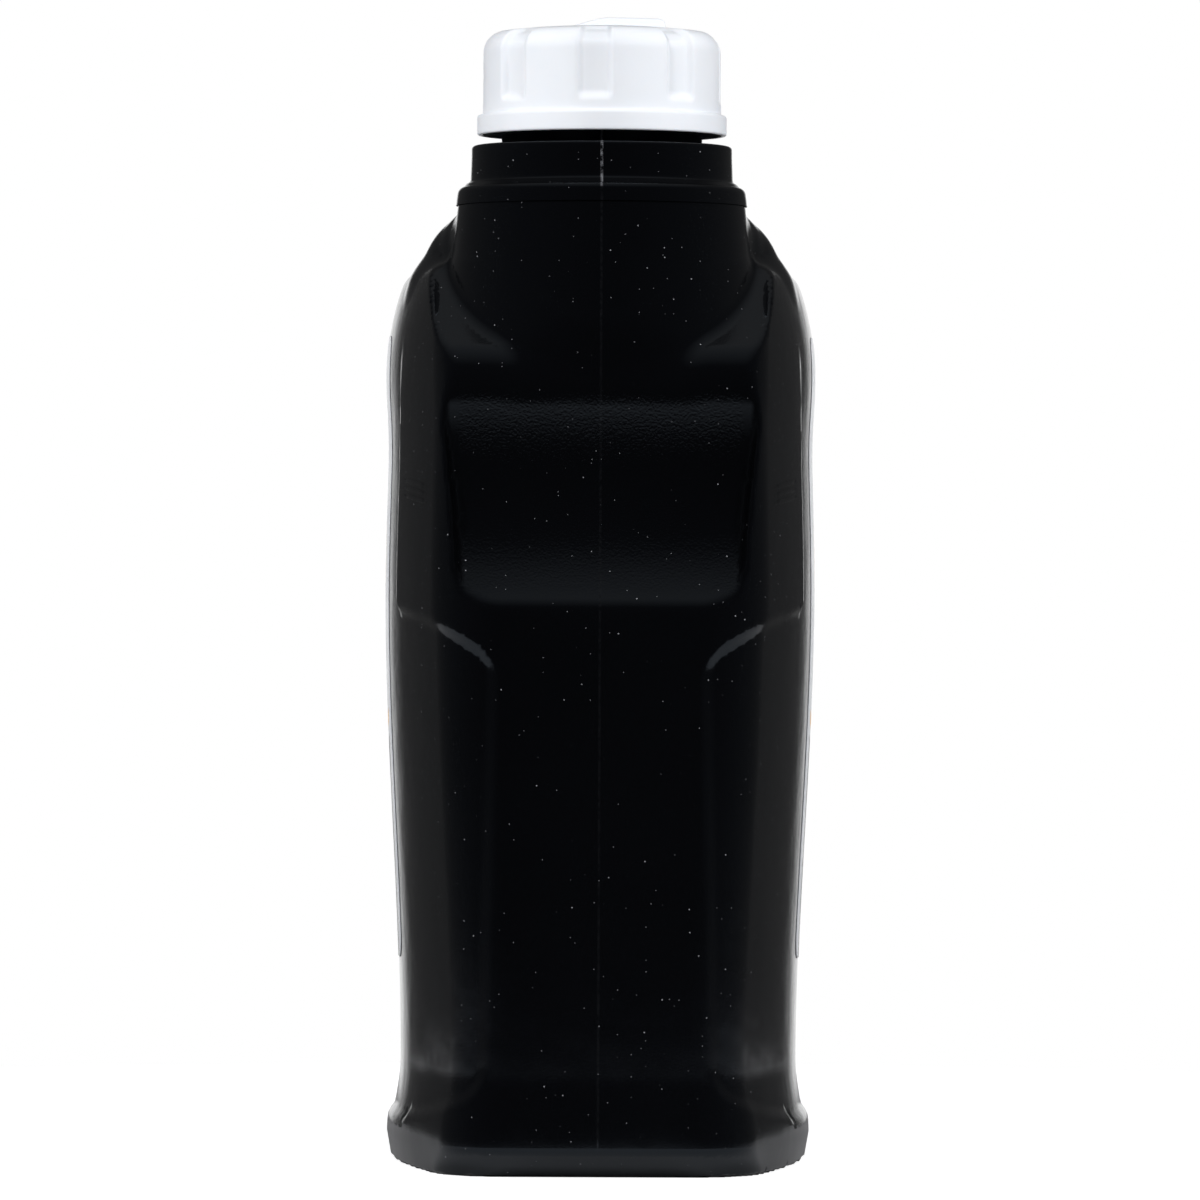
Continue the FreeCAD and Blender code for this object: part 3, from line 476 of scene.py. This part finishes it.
def front_y(x, z):
    """Depth of the bottle's front at each x and z."""
    return crossing(np.full_like(x, -60.0), np.full_like(x, -118.0), lambda y: bottle_distance(x, y, z))


def parting_points():
    """The outline of the bottle in its middle plane, seen from a point inside it."""
    centre_y, centre_z = -20.0, 120.0
    angles = np.linspace(0, 2 * math.pi, 900, endpoint=False)
    reach = np.full_like(angles, 260.0)
    for _ in range(60):
        y, z = centre_y + reach * np.cos(angles), centre_z + reach * np.sin(angles)
        reach = reach - 0.7 * np.maximum(bottle_distance(np.zeros_like(y), y, z), 0.0)
    return centre_y + reach * np.cos(angles), centre_z + reach * np.sin(angles), angles


def parting_ridge():
    """The thin raised line that the two halves of the mould leave, a little uneven."""
    y, z, angles = parting_points()
    keep = (z < CONE_TOP_Z - 1.0) & (z > 0.4)
    normals = gradient(np.stack([np.zeros_like(y), y, z], axis=1))
    lengths = np.maximum(np.linalg.norm(normals, axis=1), 0.01)
    normals = normals / lengths[:, None]
    foot, crest, sunk = 0.4, 0.12, 0.2
    heights = 0.09 + 0.03 * np.sin(angles * 61) + 0.02 * np.sin(angles * 137 + 1.0)
    points, faces = [], []
    for i, height in enumerate(heights):
        base = np.array([0.0, y[i], z[i]])
        for x, lift in ((-foot, -sunk), (-crest, height), (crest, height), (foot, -sunk)):
            points.append(base + normals[i] * lift + np.array([x, 0, 0]))
    for i in range(len(y)):
        after = (i + 1) % len(y)
        if keep[i] and keep[after]:
            for k in range(3):
                faces.append((4 * i + k, 4 * i + k + 1, 4 * after + k + 1, 4 * after + k))
    return points, faces


def collar_flash():
    """The rougher flash on the collar's front and rear."""
    foot, crest, sunk = 0.55, 0.2, 0.3
    heights = np.linspace(CONE_TOP_Z + STEP + 0.6, COLLAR_TOP - 0.8, 26)
    points, faces = [], []
    for sign in (-1.0, 1.0):
        first = len(points)
        for index, z in enumerate(heights):
            lift = 0.30 + 0.14 * math.sin(index * 2.3) + 0.08 * math.sin(index * 5.1)
            for x, rise in ((-foot, -sunk), (-crest, lift), (crest, lift), (foot, -sunk)):
                points.append((x, NECK_Y + sign * (COLLAR_R + rise), z))
        faces += grid_faces(len(heights), 4, first=first)
    return points, faces


def grip_ribs():
    """Three short ribs on each cheek beside the grip, laid on the surface."""
    ring, stations, thick = 8, 12, 0.75
    points, faces = [], []
    for side in (-1, 1):
        for rib in range(3):
            xs = side * np.linspace(52.6, 46.5, stations)
            zs = 185.0 - 2.1 * rib - np.linspace(0, 2.0, stations)
            tube = []
            for index, spot in enumerate(np.stack([xs, front_y(xs, zs), zs], axis=1)):
                radius = thick * min(1.0, 0.35 + min(index, stations - 1 - index) * 0.4)
                for k in range(ring):
                    turn = 2 * math.pi * k / ring
                    tube.append(spot + radius * np.array([0.0, math.cos(turn), math.sin(turn)]))
            append_mesh(points, faces, *closed_tube(tube, ring, inward=True))
    return points, faces


def make_bottle():
    """The skin and what is moulded with it as one mesh, with the skin's own exact normals."""
    skin = bottle_skin()
    points = [tuple(point) for point in mesh_points(skin)]
    faces = [tuple(polygon.vertices) for polygon in skin.polygons]
    count = len(points)
    for detail in (threaded_neck(), parting_ridge(), collar_flash(), grip_ribs()):
        append_mesh(points, faces, *detail)
    mesh = mesh_from("bottle_skin", points, faces)
    normals = np.empty(len(mesh.vertices) * 3)
    mesh.vertices.foreach_get("normal", normals)
    normals = normals.reshape(-1, 3)
    exact = gradient(mesh_points(mesh)[:count], step=0.4)
    normals[:count] = exact / np.maximum(np.linalg.norm(exact, axis=1), 0.001)[:, None]
    mesh.normals_split_custom_set_from_vertices(normals.tolist())
    return new_object("bottle_skin", mesh)


# Labels
def label_edges(z):
    """Front and rear edge of the label at a height, with rounded corners."""
    slope = HALF_LENGTH - SLOPE_MARGIN - LABEL_SLOPE_MARGIN - SLOPE_RUN * (z - SLOPE_START)
    rear = -np.logaddexp(-LABEL_REAR / LABEL_SOFT, -slope / LABEL_SOFT) * LABEL_SOFT
    inset = np.maximum(LABEL_CORNER - np.minimum(z - LABEL_LOW, LABEL_HIGH - z), 0.0)
    trim = LABEL_CORNER - np.sqrt(np.maximum(LABEL_CORNER ** 2 - inset ** 2, 0.0))
    return LABEL_FRONT + trim, rear - trim


def make_label(name, sign):
    """A thin film on the panel: its front, its back and the rim between them."""
    rows, columns = 86, 74
    steps = np.linspace(0, 1, rows)
    crowded = steps - np.sin(2 * math.pi * steps) / (2 * math.pi) * 0.35
    points = []
    for lift in (0.2, 0.03):
        for z in LABEL_LOW + (LABEL_HIGH - LABEL_LOW) * crowded:
            front, rear = label_edges(z)
            y = np.linspace(front, rear, columns)
            x = surface_x(y, np.full_like(y, z)) + lift
            points += [(sign * a, b, z) for a, b in zip(x, y)]
    layer = rows * columns
    faces = grid_faces(rows, columns)
    faces += [tuple(i + layer for i in face)[::-1] for face in faces]
    rim = [row * columns for row in range(rows)]
    rim += [(rows - 1) * columns + column for column in range(1, columns)]
    rim += [row * columns + columns - 1 for row in range(rows - 2, -1, -1)]
    rim += range(columns - 2, 0, -1)
    faces += [(a, b, b + layer, a + layer) for a, b in zip(rim, rim[1:] + rim[:1])]
    mesh = mesh_from(name, points, faces)
    mesh.validate()
    return new_object(name, mesh)


# Screw cap
def cap_profile():
    """Outer profile from the rim to the middle, then the inside back to the rim."""
    flange_top = CAP_BOTTOM + FLANGE_H
    outer = arc((FLANGE_R - 0.5, CAP_BOTTOM + 0.5), 0.5, 270, 360, 4)
    outer += [(FLANGE_R, z) for z in np.linspace(CAP_BOTTOM + 1.0, flange_top - 0.9, 5)]
    outer += arc((FLANGE_R - 0.8, flange_top - 0.8), 0.8, 10, 90, 5)
    outer += arc((CAP_R + 0.45, flange_top + 0.5), 0.45, 270, 180, 4)
    outer += [(CAP_R, z) for z in np.linspace(flange_top + 1.2, CAP_TOP - 7.6, 26)]
    shoulder = arc((CAP_R - 6.0, CAP_TOP - 7.4), 6.0, 0, 74, 16)
    outer += shoulder
    edge_r, edge_z = shoulder[-1]
    for share in np.linspace(0.06, 1.0, 20):
        radius = edge_r * (1 - share)
        outer.append((max(radius, 0.02), edge_z + (CAP_TOP - edge_z) * (1 - (1 - share) ** 2)))
    skirt_end = CAP_BOTTOM + SKIRT_HANG
    inside = [(0.02, CAP_ROOF), (SKIRT_R, CAP_ROOF), (SKIRT_R, skirt_end)]
    inside += [(SKIRT_R + 0.3, skirt_end - 0.3), (SKIRT_R + SKIRT_WALL - 0.3, skirt_end - 0.3)]
    inside += [(SKIRT_R + SKIRT_WALL, skirt_end), (SKIRT_R + SKIRT_WALL, CAP_GAP_TOP)]
    inside += [(CAP_R - CAP_WALL, CAP_GAP_TOP), (CAP_R - CAP_WALL, flange_top)]
    inside += [(FLANGE_R - FLANGE_WALL, flange_top - 1.0), (FLANGE_R - FLANGE_WALL, CAP_BOTTOM + 0.3)]
    inside += [(FLANGE_R - FLANGE_WALL + 0.3, CAP_BOTTOM)]
    return outer, inside


def flute_share(angle):
    """How much of a flute's depth an angle has: one in its middle, nought between two."""
    half_pitch = math.pi / FLUTES
    off = (angle - FLUTE_ANGLE + half_pitch) % (2 * half_pitch) - half_pitch
    return 1.0 - float(smooth_step((abs(off) / FLUTE_HALF - 0.72) / 0.42))


def flute_press(radius, z):
    """How far the middle of a flute presses a ring of the cap in and down."""
    rise = smooth_step((z - CAP_BOTTOM - FLUTE_START) / 2.6)
    inward = FLUTE_DEPTH * rise * smooth_step((radius - FLUTE_R) / 4.0)
    edge = smooth_step((radius - FLUTE_R) / 3.5)
    return float(inward), float(FLUTE_DROP * edge * smooth_step((z - CAP_TOP + 6.0) / 3.0))


def wedge_mesh():
    """The raised wedge on the dome, ramped at its left end."""
    left, ramp_end, right, half = -8.1, 0.4, 17.5, 8.0
    low = CAP_TOP - 1.6
    outline = [(left - 0.8, CAP_TOP - 0.35), (left + 0.4, CAP_TOP - 0.1)]
    outline += [(ramp_end - 1.0, CAP_TOP + 1.85), (ramp_end + 0.8, CAP_TOP + 2.08)]
    outline += [(right - 2.6, CAP_TOP + 1.85), (right - 1.4, CAP_TOP + 1.55)]
    outline += [(right - 0.7, CAP_TOP + 0.8), (right - 0.2, CAP_TOP - 1.4)]
    columns = []
    for y, inset in ((-half, 0.9), (-half + 0.25, 0.35), (-half + 0.8, 0.0), (half - 0.8, 0.0),
                     (half - 0.25, 0.35), (half, 0.9)):
        columns.append([(x, NECK_Y + y, z - inset * (z > CAP_TOP - 0.2)) for x, z in outline])
    points = [p for column in columns for p in column]
    n = len(outline)
    faces = grid_faces(len(columns), n)
    first = len(points)
    for column in (columns[0], columns[-1]):
        points += [(x, y, low) for x, y, z in column]
    for k in range(n - 1):
        faces.append((k + 1, k, first + k, first + k + 1))
        last = (len(columns) - 1) * n
        faces.append((last + k, last + k + 1, first + n + k + 1, first + n + k))
    return points, faces


def make_cap():
    """The fluted shell from its rim over the dome, its inside and the wedge on top."""
    outer, inside = cap_profile()
    turns = [2 * math.pi * column / CAP_COLUMNS for column in range(CAP_COLUMNS)]
    shares = [flute_share(angle) for angle in turns]
    points, faces = [], []
    for radius, z in outer:
        inward, down = flute_press(radius, z)
        for angle, share in zip(turns, shares):
            r = radius - inward * share
            points.append((r * math.cos(angle), NECK_Y + r * math.sin(angle), z - down * share))
    faces += grid_faces(len(outer), CAP_COLUMNS, closed=True)
    first = len(points)
    for radius, z in inside:
        for angle in turns:
            points.append((radius * math.cos(angle), NECK_Y + radius * math.sin(angle), z))
    faces += grid_faces(len(inside), CAP_COLUMNS, closed=True, first=first)
    last = first + (len(inside) - 1) * CAP_COLUMNS
    for column in range(CAP_COLUMNS):
        after = (column + 1) % CAP_COLUMNS
        faces.append((last + column, last + after, after, column))
    append_mesh(points, faces, *wedge_mesh())
    return new_object("fluted_cap", mesh_from("fluted_cap", points, faces))


# The contents
def make_oil():
    """The oil's own form, drawn in where a soft hollow of the skin comes close to it."""
    mesh = frame["nodes"]["oil"].data.copy()
    points = mesh_points(mesh)
    slope = gradient(points)
    steep = np.maximum(np.linalg.norm(slope, axis=1), 0.3)
    move = np.clip(bottle_distance(*points.T) + OIL_GAP, 0.0, 5.0) / steep
    set_points(mesh, points - slope * move[:, None])
    return new_object("oil_fill", mesh)


# Materials
def material(name):
    made = bpy.data.materials.new(name)
    made.use_nodes = True
    nodes = made.node_tree.nodes
    return made, nodes, made.node_tree.links, nodes["Principled BSDF"]


def object_axes(nodes, links):
    """The object's own coordinates in metres, as one vector and as X, Y and Z."""
    coords = nodes.new("ShaderNodeTexCoord").outputs["Object"]
    split = nodes.new("ShaderNodeSeparateXYZ")
    links.new(coords, split.inputs["Vector"])
    return coords, split.outputs["X"], split.outputs["Y"], split.outputs["Z"]


def noise(nodes, links, coords, scale, detail=3.0, rough=0.5):
    node = nodes.new("ShaderNodeTexNoise")
    node.inputs["Scale"].default_value = scale
    node.inputs["Detail"].default_value = detail
    node.inputs["Roughness"].default_value = rough
    links.new(coords, node.inputs["Vector"])
    return node.outputs["Fac"]


def ramp_node(nodes, links, source, low, high, dark=0.0, light=1.0):
    node = nodes.new("ShaderNodeMapRange")
    node.inputs["From Min"].default_value = low
    node.inputs["From Max"].default_value = high
    node.inputs["To Min"].default_value = dark
    node.inputs["To Max"].default_value = light
    links.new(source, node.inputs["Value"])
    return node.outputs["Result"]


def maths(nodes, links, operation, a, b=0.0):
    node = nodes.new("ShaderNodeMath")
    node.operation = operation
    for index, value in enumerate((a, b)):
        if isinstance(value, (int, float)):
            node.inputs[index].default_value = value
        else:
            links.new(value, node.inputs[index])
    return node.outputs["Value"]


def mix_colour(nodes, links, share, first, second):
    node = nodes.new("ShaderNodeMix")
    node.data_type = "RGBA"
    links.new(share, node.inputs["Factor"])
    for socket, value in ((node.inputs[6], first), (node.inputs[7], second)):
        if isinstance(value, tuple):
            socket.default_value = value
        else:
            links.new(value, socket)
    return node.outputs[2]


def multiply(nodes, links, first, *others):
    for value in others:
        first = maths(nodes, links, "MULTIPLY", first, value)
    return first


def bump(nodes, links, height, strength, distance, normal=None):
    """A relief as a normal, which may lie on another relief."""
    node = nodes.new("ShaderNodeBump")
    node.inputs["Strength"].default_value = strength
    node.inputs["Distance"].default_value = distance
    links.new(height, node.inputs["Height"])
    if normal is not None:
        links.new(normal, node.inputs["Normal"])
    return node.outputs["Normal"]


def specks(nodes, links, coords, scale, size, share):
    """Small round spots in some of the cells of a fine net."""
    cells = nodes.new("ShaderNodeTexVoronoi")
    cells.inputs["Scale"].default_value = scale
    links.new(coords, cells.inputs["Vector"])
    near = ramp_node(nodes, links, cells.outputs["Distance"], size, size * 0.5)
    chosen = nodes.new("ShaderNodeSeparateColor")
    links.new(cells.outputs["Color"], chosen.inputs["Color"])
    some = maths(nodes, links, "LESS_THAN", chosen.outputs["Red"], share)
    return multiply(nodes, links, near, some)


def black_plastic():
    """Glossy black with dust, a torn pale seam on the collar and a stippled grip."""
    made, nodes, links, shader = material("black_blown_plastic")
    coords, x, y, z = object_axes(nodes, links)
    width = maths(nodes, links, "ABSOLUTE", x)
    dust = specks(nodes, links, coords, 420.0, 0.09, 0.11)
    fine_dust = specks(nodes, links, coords, 800.0, 0.13, 0.07)
    dust = maths(nodes, links, "MAXIMUM", dust, multiply(nodes, links, fine_dust, 0.6))
    tone = noise(nodes, links, coords, 9.0)
    base = mix_colour(nodes, links, tone, (0.0010, 0.0011, 0.0015, 1), (0.0022, 0.0024, 0.0031, 1))
    dusty = mix_colour(nodes, links, multiply(nodes, links, dust, 0.55), base, (0.55, 0.56, 0.60, 1))
    seam = ramp_node(nodes, links, width, 0.00045, 0.0002)
    torn = ramp_node(nodes, links, noise(nodes, links, coords, 900.0), 0.35, 0.65)
    high = ramp_node(nodes, links, z, 0.2625, 0.2635, 0.02, 1.0)
    flash = multiply(nodes, links, seam, torn, high, 0.35)
    colour = mix_colour(nodes, links, flash, dusty, (0.45, 0.46, 0.5, 1))
    links.new(colour, shader.inputs["Base Color"])
    haze = noise(nodes, links, coords, 34.0, 5.0, 0.6)
    links.new(ramp_node(nodes, links, haze, 0.3, 0.75, 0.12, 0.17), shader.inputs["Roughness"])
    shader.inputs["IOR"].default_value = 1.5
    shader.inputs["Specular Tint"].default_value = (0.74, 0.87, 1.0, 1)
    rise = ramp_node(nodes, links, z, 0.153, 0.157)
    fall = ramp_node(nodes, links, z, 0.212, 0.209)
    inner = ramp_node(nodes, links, width, 0.0385, 0.0365)
    front = ramp_node(nodes, links, y, -0.085, -0.088)
    stipple = noise(nodes, links, coords, 1500.0, 1.0)
    stipple = multiply(nodes, links, stipple, rise, fall, inner, front)
    grain = bump(nodes, links, noise(nodes, links, coords, 2600.0, 2.0), 0.32, 0.00004)
    swell = bump(nodes, links, noise(nodes, links, coords, 46.0, 2.0), 0.35, 0.0006, grain)
    links.new(bump(nodes, links, stipple, 0.6, 0.0002, swell), shader.inputs["Normal"])
    return made


def white_plastic():
    made, nodes, links, shader = material("white_cap_plastic")
    coords = object_axes(nodes, links)[0]
    tone = noise(nodes, links, coords, 60.0)
    base = mix_colour(nodes, links, tone, (0.76, 0.79, 0.84, 1), (0.82, 0.84, 0.88, 1))
    dust = multiply(nodes, links, specks(nodes, links, coords, 420.0, 0.10, 0.03), 0.35)
    colour = mix_colour(nodes, links, dust, base, (0.4, 0.4, 0.42, 1))
    links.new(colour, shader.inputs["Base Color"])
    haze = noise(nodes, links, coords, 90.0)
    links.new(ramp_node(nodes, links, haze, 0.3, 0.7, 0.30, 0.40), shader.inputs["Roughness"])
    shader.inputs["Subsurface Weight"].default_value = 0.12
    shader.inputs["Subsurface Radius"].default_value = (0.004, 0.003, 0.0025)
    grain = bump(nodes, links, noise(nodes, links, coords, 900.0), 0.12, 0.0001)
    links.new(grain, shader.inputs["Normal"])
    return made


def label_film():
    """Plain printed fields: a pale ground, a dark lower block, a thin amber line and an amber disc."""
    made, nodes, links, shader = material("label_film_print")
    coords, x, y, z = object_axes(nodes, links)
    fade = ramp_node(nodes, links, z, 0.06, 0.225)
    ground = mix_colour(nodes, links, fade, (0.52, 0.54, 0.57, 1), (0.74, 0.76, 0.79, 1))
    tilt = maths(nodes, links, "ADD", z, multiply(nodes, links, y, 0.22))
    block = ramp_node(nodes, links, tilt, 0.1122, 0.1118)
    with_block = mix_colour(nodes, links, block, ground, (0.035, 0.04, 0.05, 1))
    over = ramp_node(nodes, links, tilt, 0.1148, 0.1152)
    under = ramp_node(nodes, links, tilt, 0.1192, 0.1188)
    line = multiply(nodes, links, over, under)
    with_line = mix_colour(nodes, links, line, with_block, (0.72, 0.33, 0.03, 1))
    away_y = maths(nodes, links, "ADD", y, -0.012)
    away_z = maths(nodes, links, "ADD", z, -0.165)
    square_y = multiply(nodes, links, away_y, away_y)
    square_z = multiply(nodes, links, away_z, away_z)
    away = maths(nodes, links, "SQRT", maths(nodes, links, "ADD", square_y, square_z))
    disc = ramp_node(nodes, links, away, 0.0242, 0.0238)
    with_disc = mix_colour(nodes, links, disc, with_line, (0.78, 0.40, 0.05, 1))
    inner = ramp_node(nodes, links, y, -0.020, -0.0196)
    bordered = mix_colour(nodes, links, inner, ground, with_disc)
    links.new(bordered, shader.inputs["Base Color"])
    haze = noise(nodes, links, coords, 70.0)
    links.new(ramp_node(nodes, links, haze, 0.3, 0.7, 0.22, 0.32), shader.inputs["Roughness"])
    swell = bump(nodes, links, noise(nodes, links, coords, 55.0), 0.15, 0.0003)
    links.new(swell, shader.inputs["Normal"])
    return made


def liner_foam():
    made, nodes, links, shader = material("liner_foam_fine")
    tone = noise(nodes, links, object_axes(nodes, links)[0], 700.0)
    colour = mix_colour(nodes, links, tone, (0.72, 0.70, 0.64, 1), (0.84, 0.82, 0.77, 1))
    links.new(colour, shader.inputs["Base Color"])
    shader.inputs["Roughness"].default_value = 0.85
    return made


def oil_liquid():
    made, nodes, links, shader = material("amber_oil")
    tone = noise(nodes, links, object_axes(nodes, links)[0], 6.0)
    colour = mix_colour(nodes, links, tone, (0.55, 0.26, 0.03, 1), (0.70, 0.38, 0.06, 1))
    links.new(colour, shader.inputs["Base Color"])
    shader.inputs["Roughness"].default_value = 0.08
    shader.inputs["IOR"].default_value = 1.47
    shader.inputs["Transmission Weight"].default_value = 0.6
    return made


def dress(thing, made):
    thing.data.materials.clear()
    thing.data.materials.append(made)


bottle = make_bottle()
dress(bottle, black_plastic())
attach(bottle, "bottle")
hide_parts("bottle_body")

film = label_film()
for word, sign in (("left", -1.0), ("right", 1.0)):
    label = make_label(f"label_film_{word}", sign)
    dress(label, film)
    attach(label, "bottle")
    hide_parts(f"label_{word}")

cap = make_cap()
dress(cap, white_plastic())
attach(cap, "cap")
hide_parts("screw_cap")

oil = make_oil()
dress(oil, oil_liquid())
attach(oil, "bottle")
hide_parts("oil")

for slot in frame["nodes"]["cap_liner"].material_slots:
    slot.material = liner_foam()


# Studio: a pale table whose colour is painted darker towards the camera as painted shade, and a bright
# wall behind, darker on the camera's side.
def floor():
    """A round table top, lit a little from within where the camera looks at it, with painted shade
    darkening its colour towards the camera.
    """
    radius = 480.0
    turns = np.linspace(0, 2 * math.pi, 96, endpoint=False)
    rim = [(radius * math.cos(turn), radius * math.sin(turn), 0) for turn in turns]
    mesh = mesh_from("floor", rim, [tuple(range(len(rim)))], smooth=False)
    thing = new_object("floor", mesh)
    made, nodes, links, shader = material("floor_painted_shade_front")
    y = object_axes(nodes, links)[2]
    # Painted shade: the floor's colour goes from pale far away to near black towards the camera,
    # standing in for the unlit front of the studio.
    near = ramp_node(nodes, links, y, -0.42, -0.2)
    colour = mix_colour(nodes, links, near, (0.07, 0.07, 0.07, 1), (0.45, 0.45, 0.46, 1))
    links.new(colour, shader.inputs["Base Color"])
    shader.inputs["Roughness"].default_value = 0.6
    shader.inputs["Specular IOR Level"].default_value = 0.0
    path = nodes.new("ShaderNodeLightPath")
    camera_ray, through_ray = path.outputs["Is Camera Ray"], path.outputs["Is Transmission Ray"]
    seen = maths(nodes, links, "MAXIMUM", camera_ray, through_ray)
    shader.inputs["Emission Color"].default_value = (1, 1, 1, 1)
    links.new(multiply(nodes, links, seen, 0.80), shader.inputs["Emission Strength"])
    dress(thing, made)


def world():
    """Bright behind the object and above it, nearly black towards the camera."""
    made = bpy.data.worlds.new("studio")
    bpy.context.scene.world = made
    made.use_nodes = True
    nodes, links = made.node_tree.nodes, made.node_tree.links
    background = nodes["Background"]
    coords = nodes.new("ShaderNodeTexCoord").outputs["Generated"]
    split = nodes.new("ShaderNodeSeparateXYZ")
    links.new(coords, split.inputs["Vector"])
    behind = ramp_node(nodes, links, split.outputs["Y"], 0.965, 0.99, 0.0, 1.2)
    above = ramp_node(nodes, links, split.outputs["Z"], 0.66, 1.0, 0.0, 0.16)
    ahead = ramp_node(nodes, links, split.outputs["Y"], -0.95, 0.3, 0.01, 0.05)
    level = maths(nodes, links, "ADD", maths(nodes, links, "MAXIMUM", behind, above), ahead)
    path = nodes.new("ShaderNodeLightPath")
    seen = nodes.new("ShaderNodeMix")
    seen.data_type = "FLOAT"
    links.new(path.outputs["Is Camera Ray"], seen.inputs["Factor"])
    links.new(level, seen.inputs[2])
    seen.inputs[3].default_value = 1.0
    background.inputs["Color"].default_value = (1, 1, 1, 1)
    links.new(seen.outputs[0], background.inputs["Strength"])


def lamp(name, place, target, width, height, power):
    """A soft panel of light, kept out of reflections."""
    data = bpy.data.lights.new(name, "AREA")
    data.shape = "RECTANGLE"
    data.size, data.size_y = width, height
    data.energy = power
    thing = bpy.data.objects.new(name, data)
    bpy.context.scene.collection.objects.link(thing)
    thing.location = place
    thing.visible_glossy = False
    thing.rotation_euler = (Vector(target) - Vector(place)).to_track_quat("-Z", "Y").to_euler()


def camera():
    """The photograph's view: level, at half height and far away, turned a quarter of a degree."""
    data = bpy.data.cameras.new("camera")
    data.sensor_width = 36.0
    data.lens = 270.0
    data.clip_end = 50.0
    thing = bpy.data.objects.new("camera", data)
    bpy.context.scene.collection.objects.link(thing)
    thing.location = (0.0, -2.488, 0.1529)
    thing.rotation_euler = (math.radians(90), math.radians(-0.24), 0.0)
    bpy.context.scene.camera = thing


floor()
world()
lamp("high_left", (-0.9, -1.5, 1.3), (0, 0, 0.2), 0.5, 0.5, 24.0)
lamp("high_right", (0.9, -1.5, 1.3), (0, 0, 0.2), 0.5, 0.5, 24.0)
lamp("left", (-1.2, -0.1, 0.3), (0, 0, 0.15), 0.4, 0.9, 9.0)
lamp("right", (1.2, -0.1, 0.3), (0, 0, 0.15), 0.4, 0.9, 9.0)
camera()
bpy.context.scene.view_settings.view_transform = "Standard"
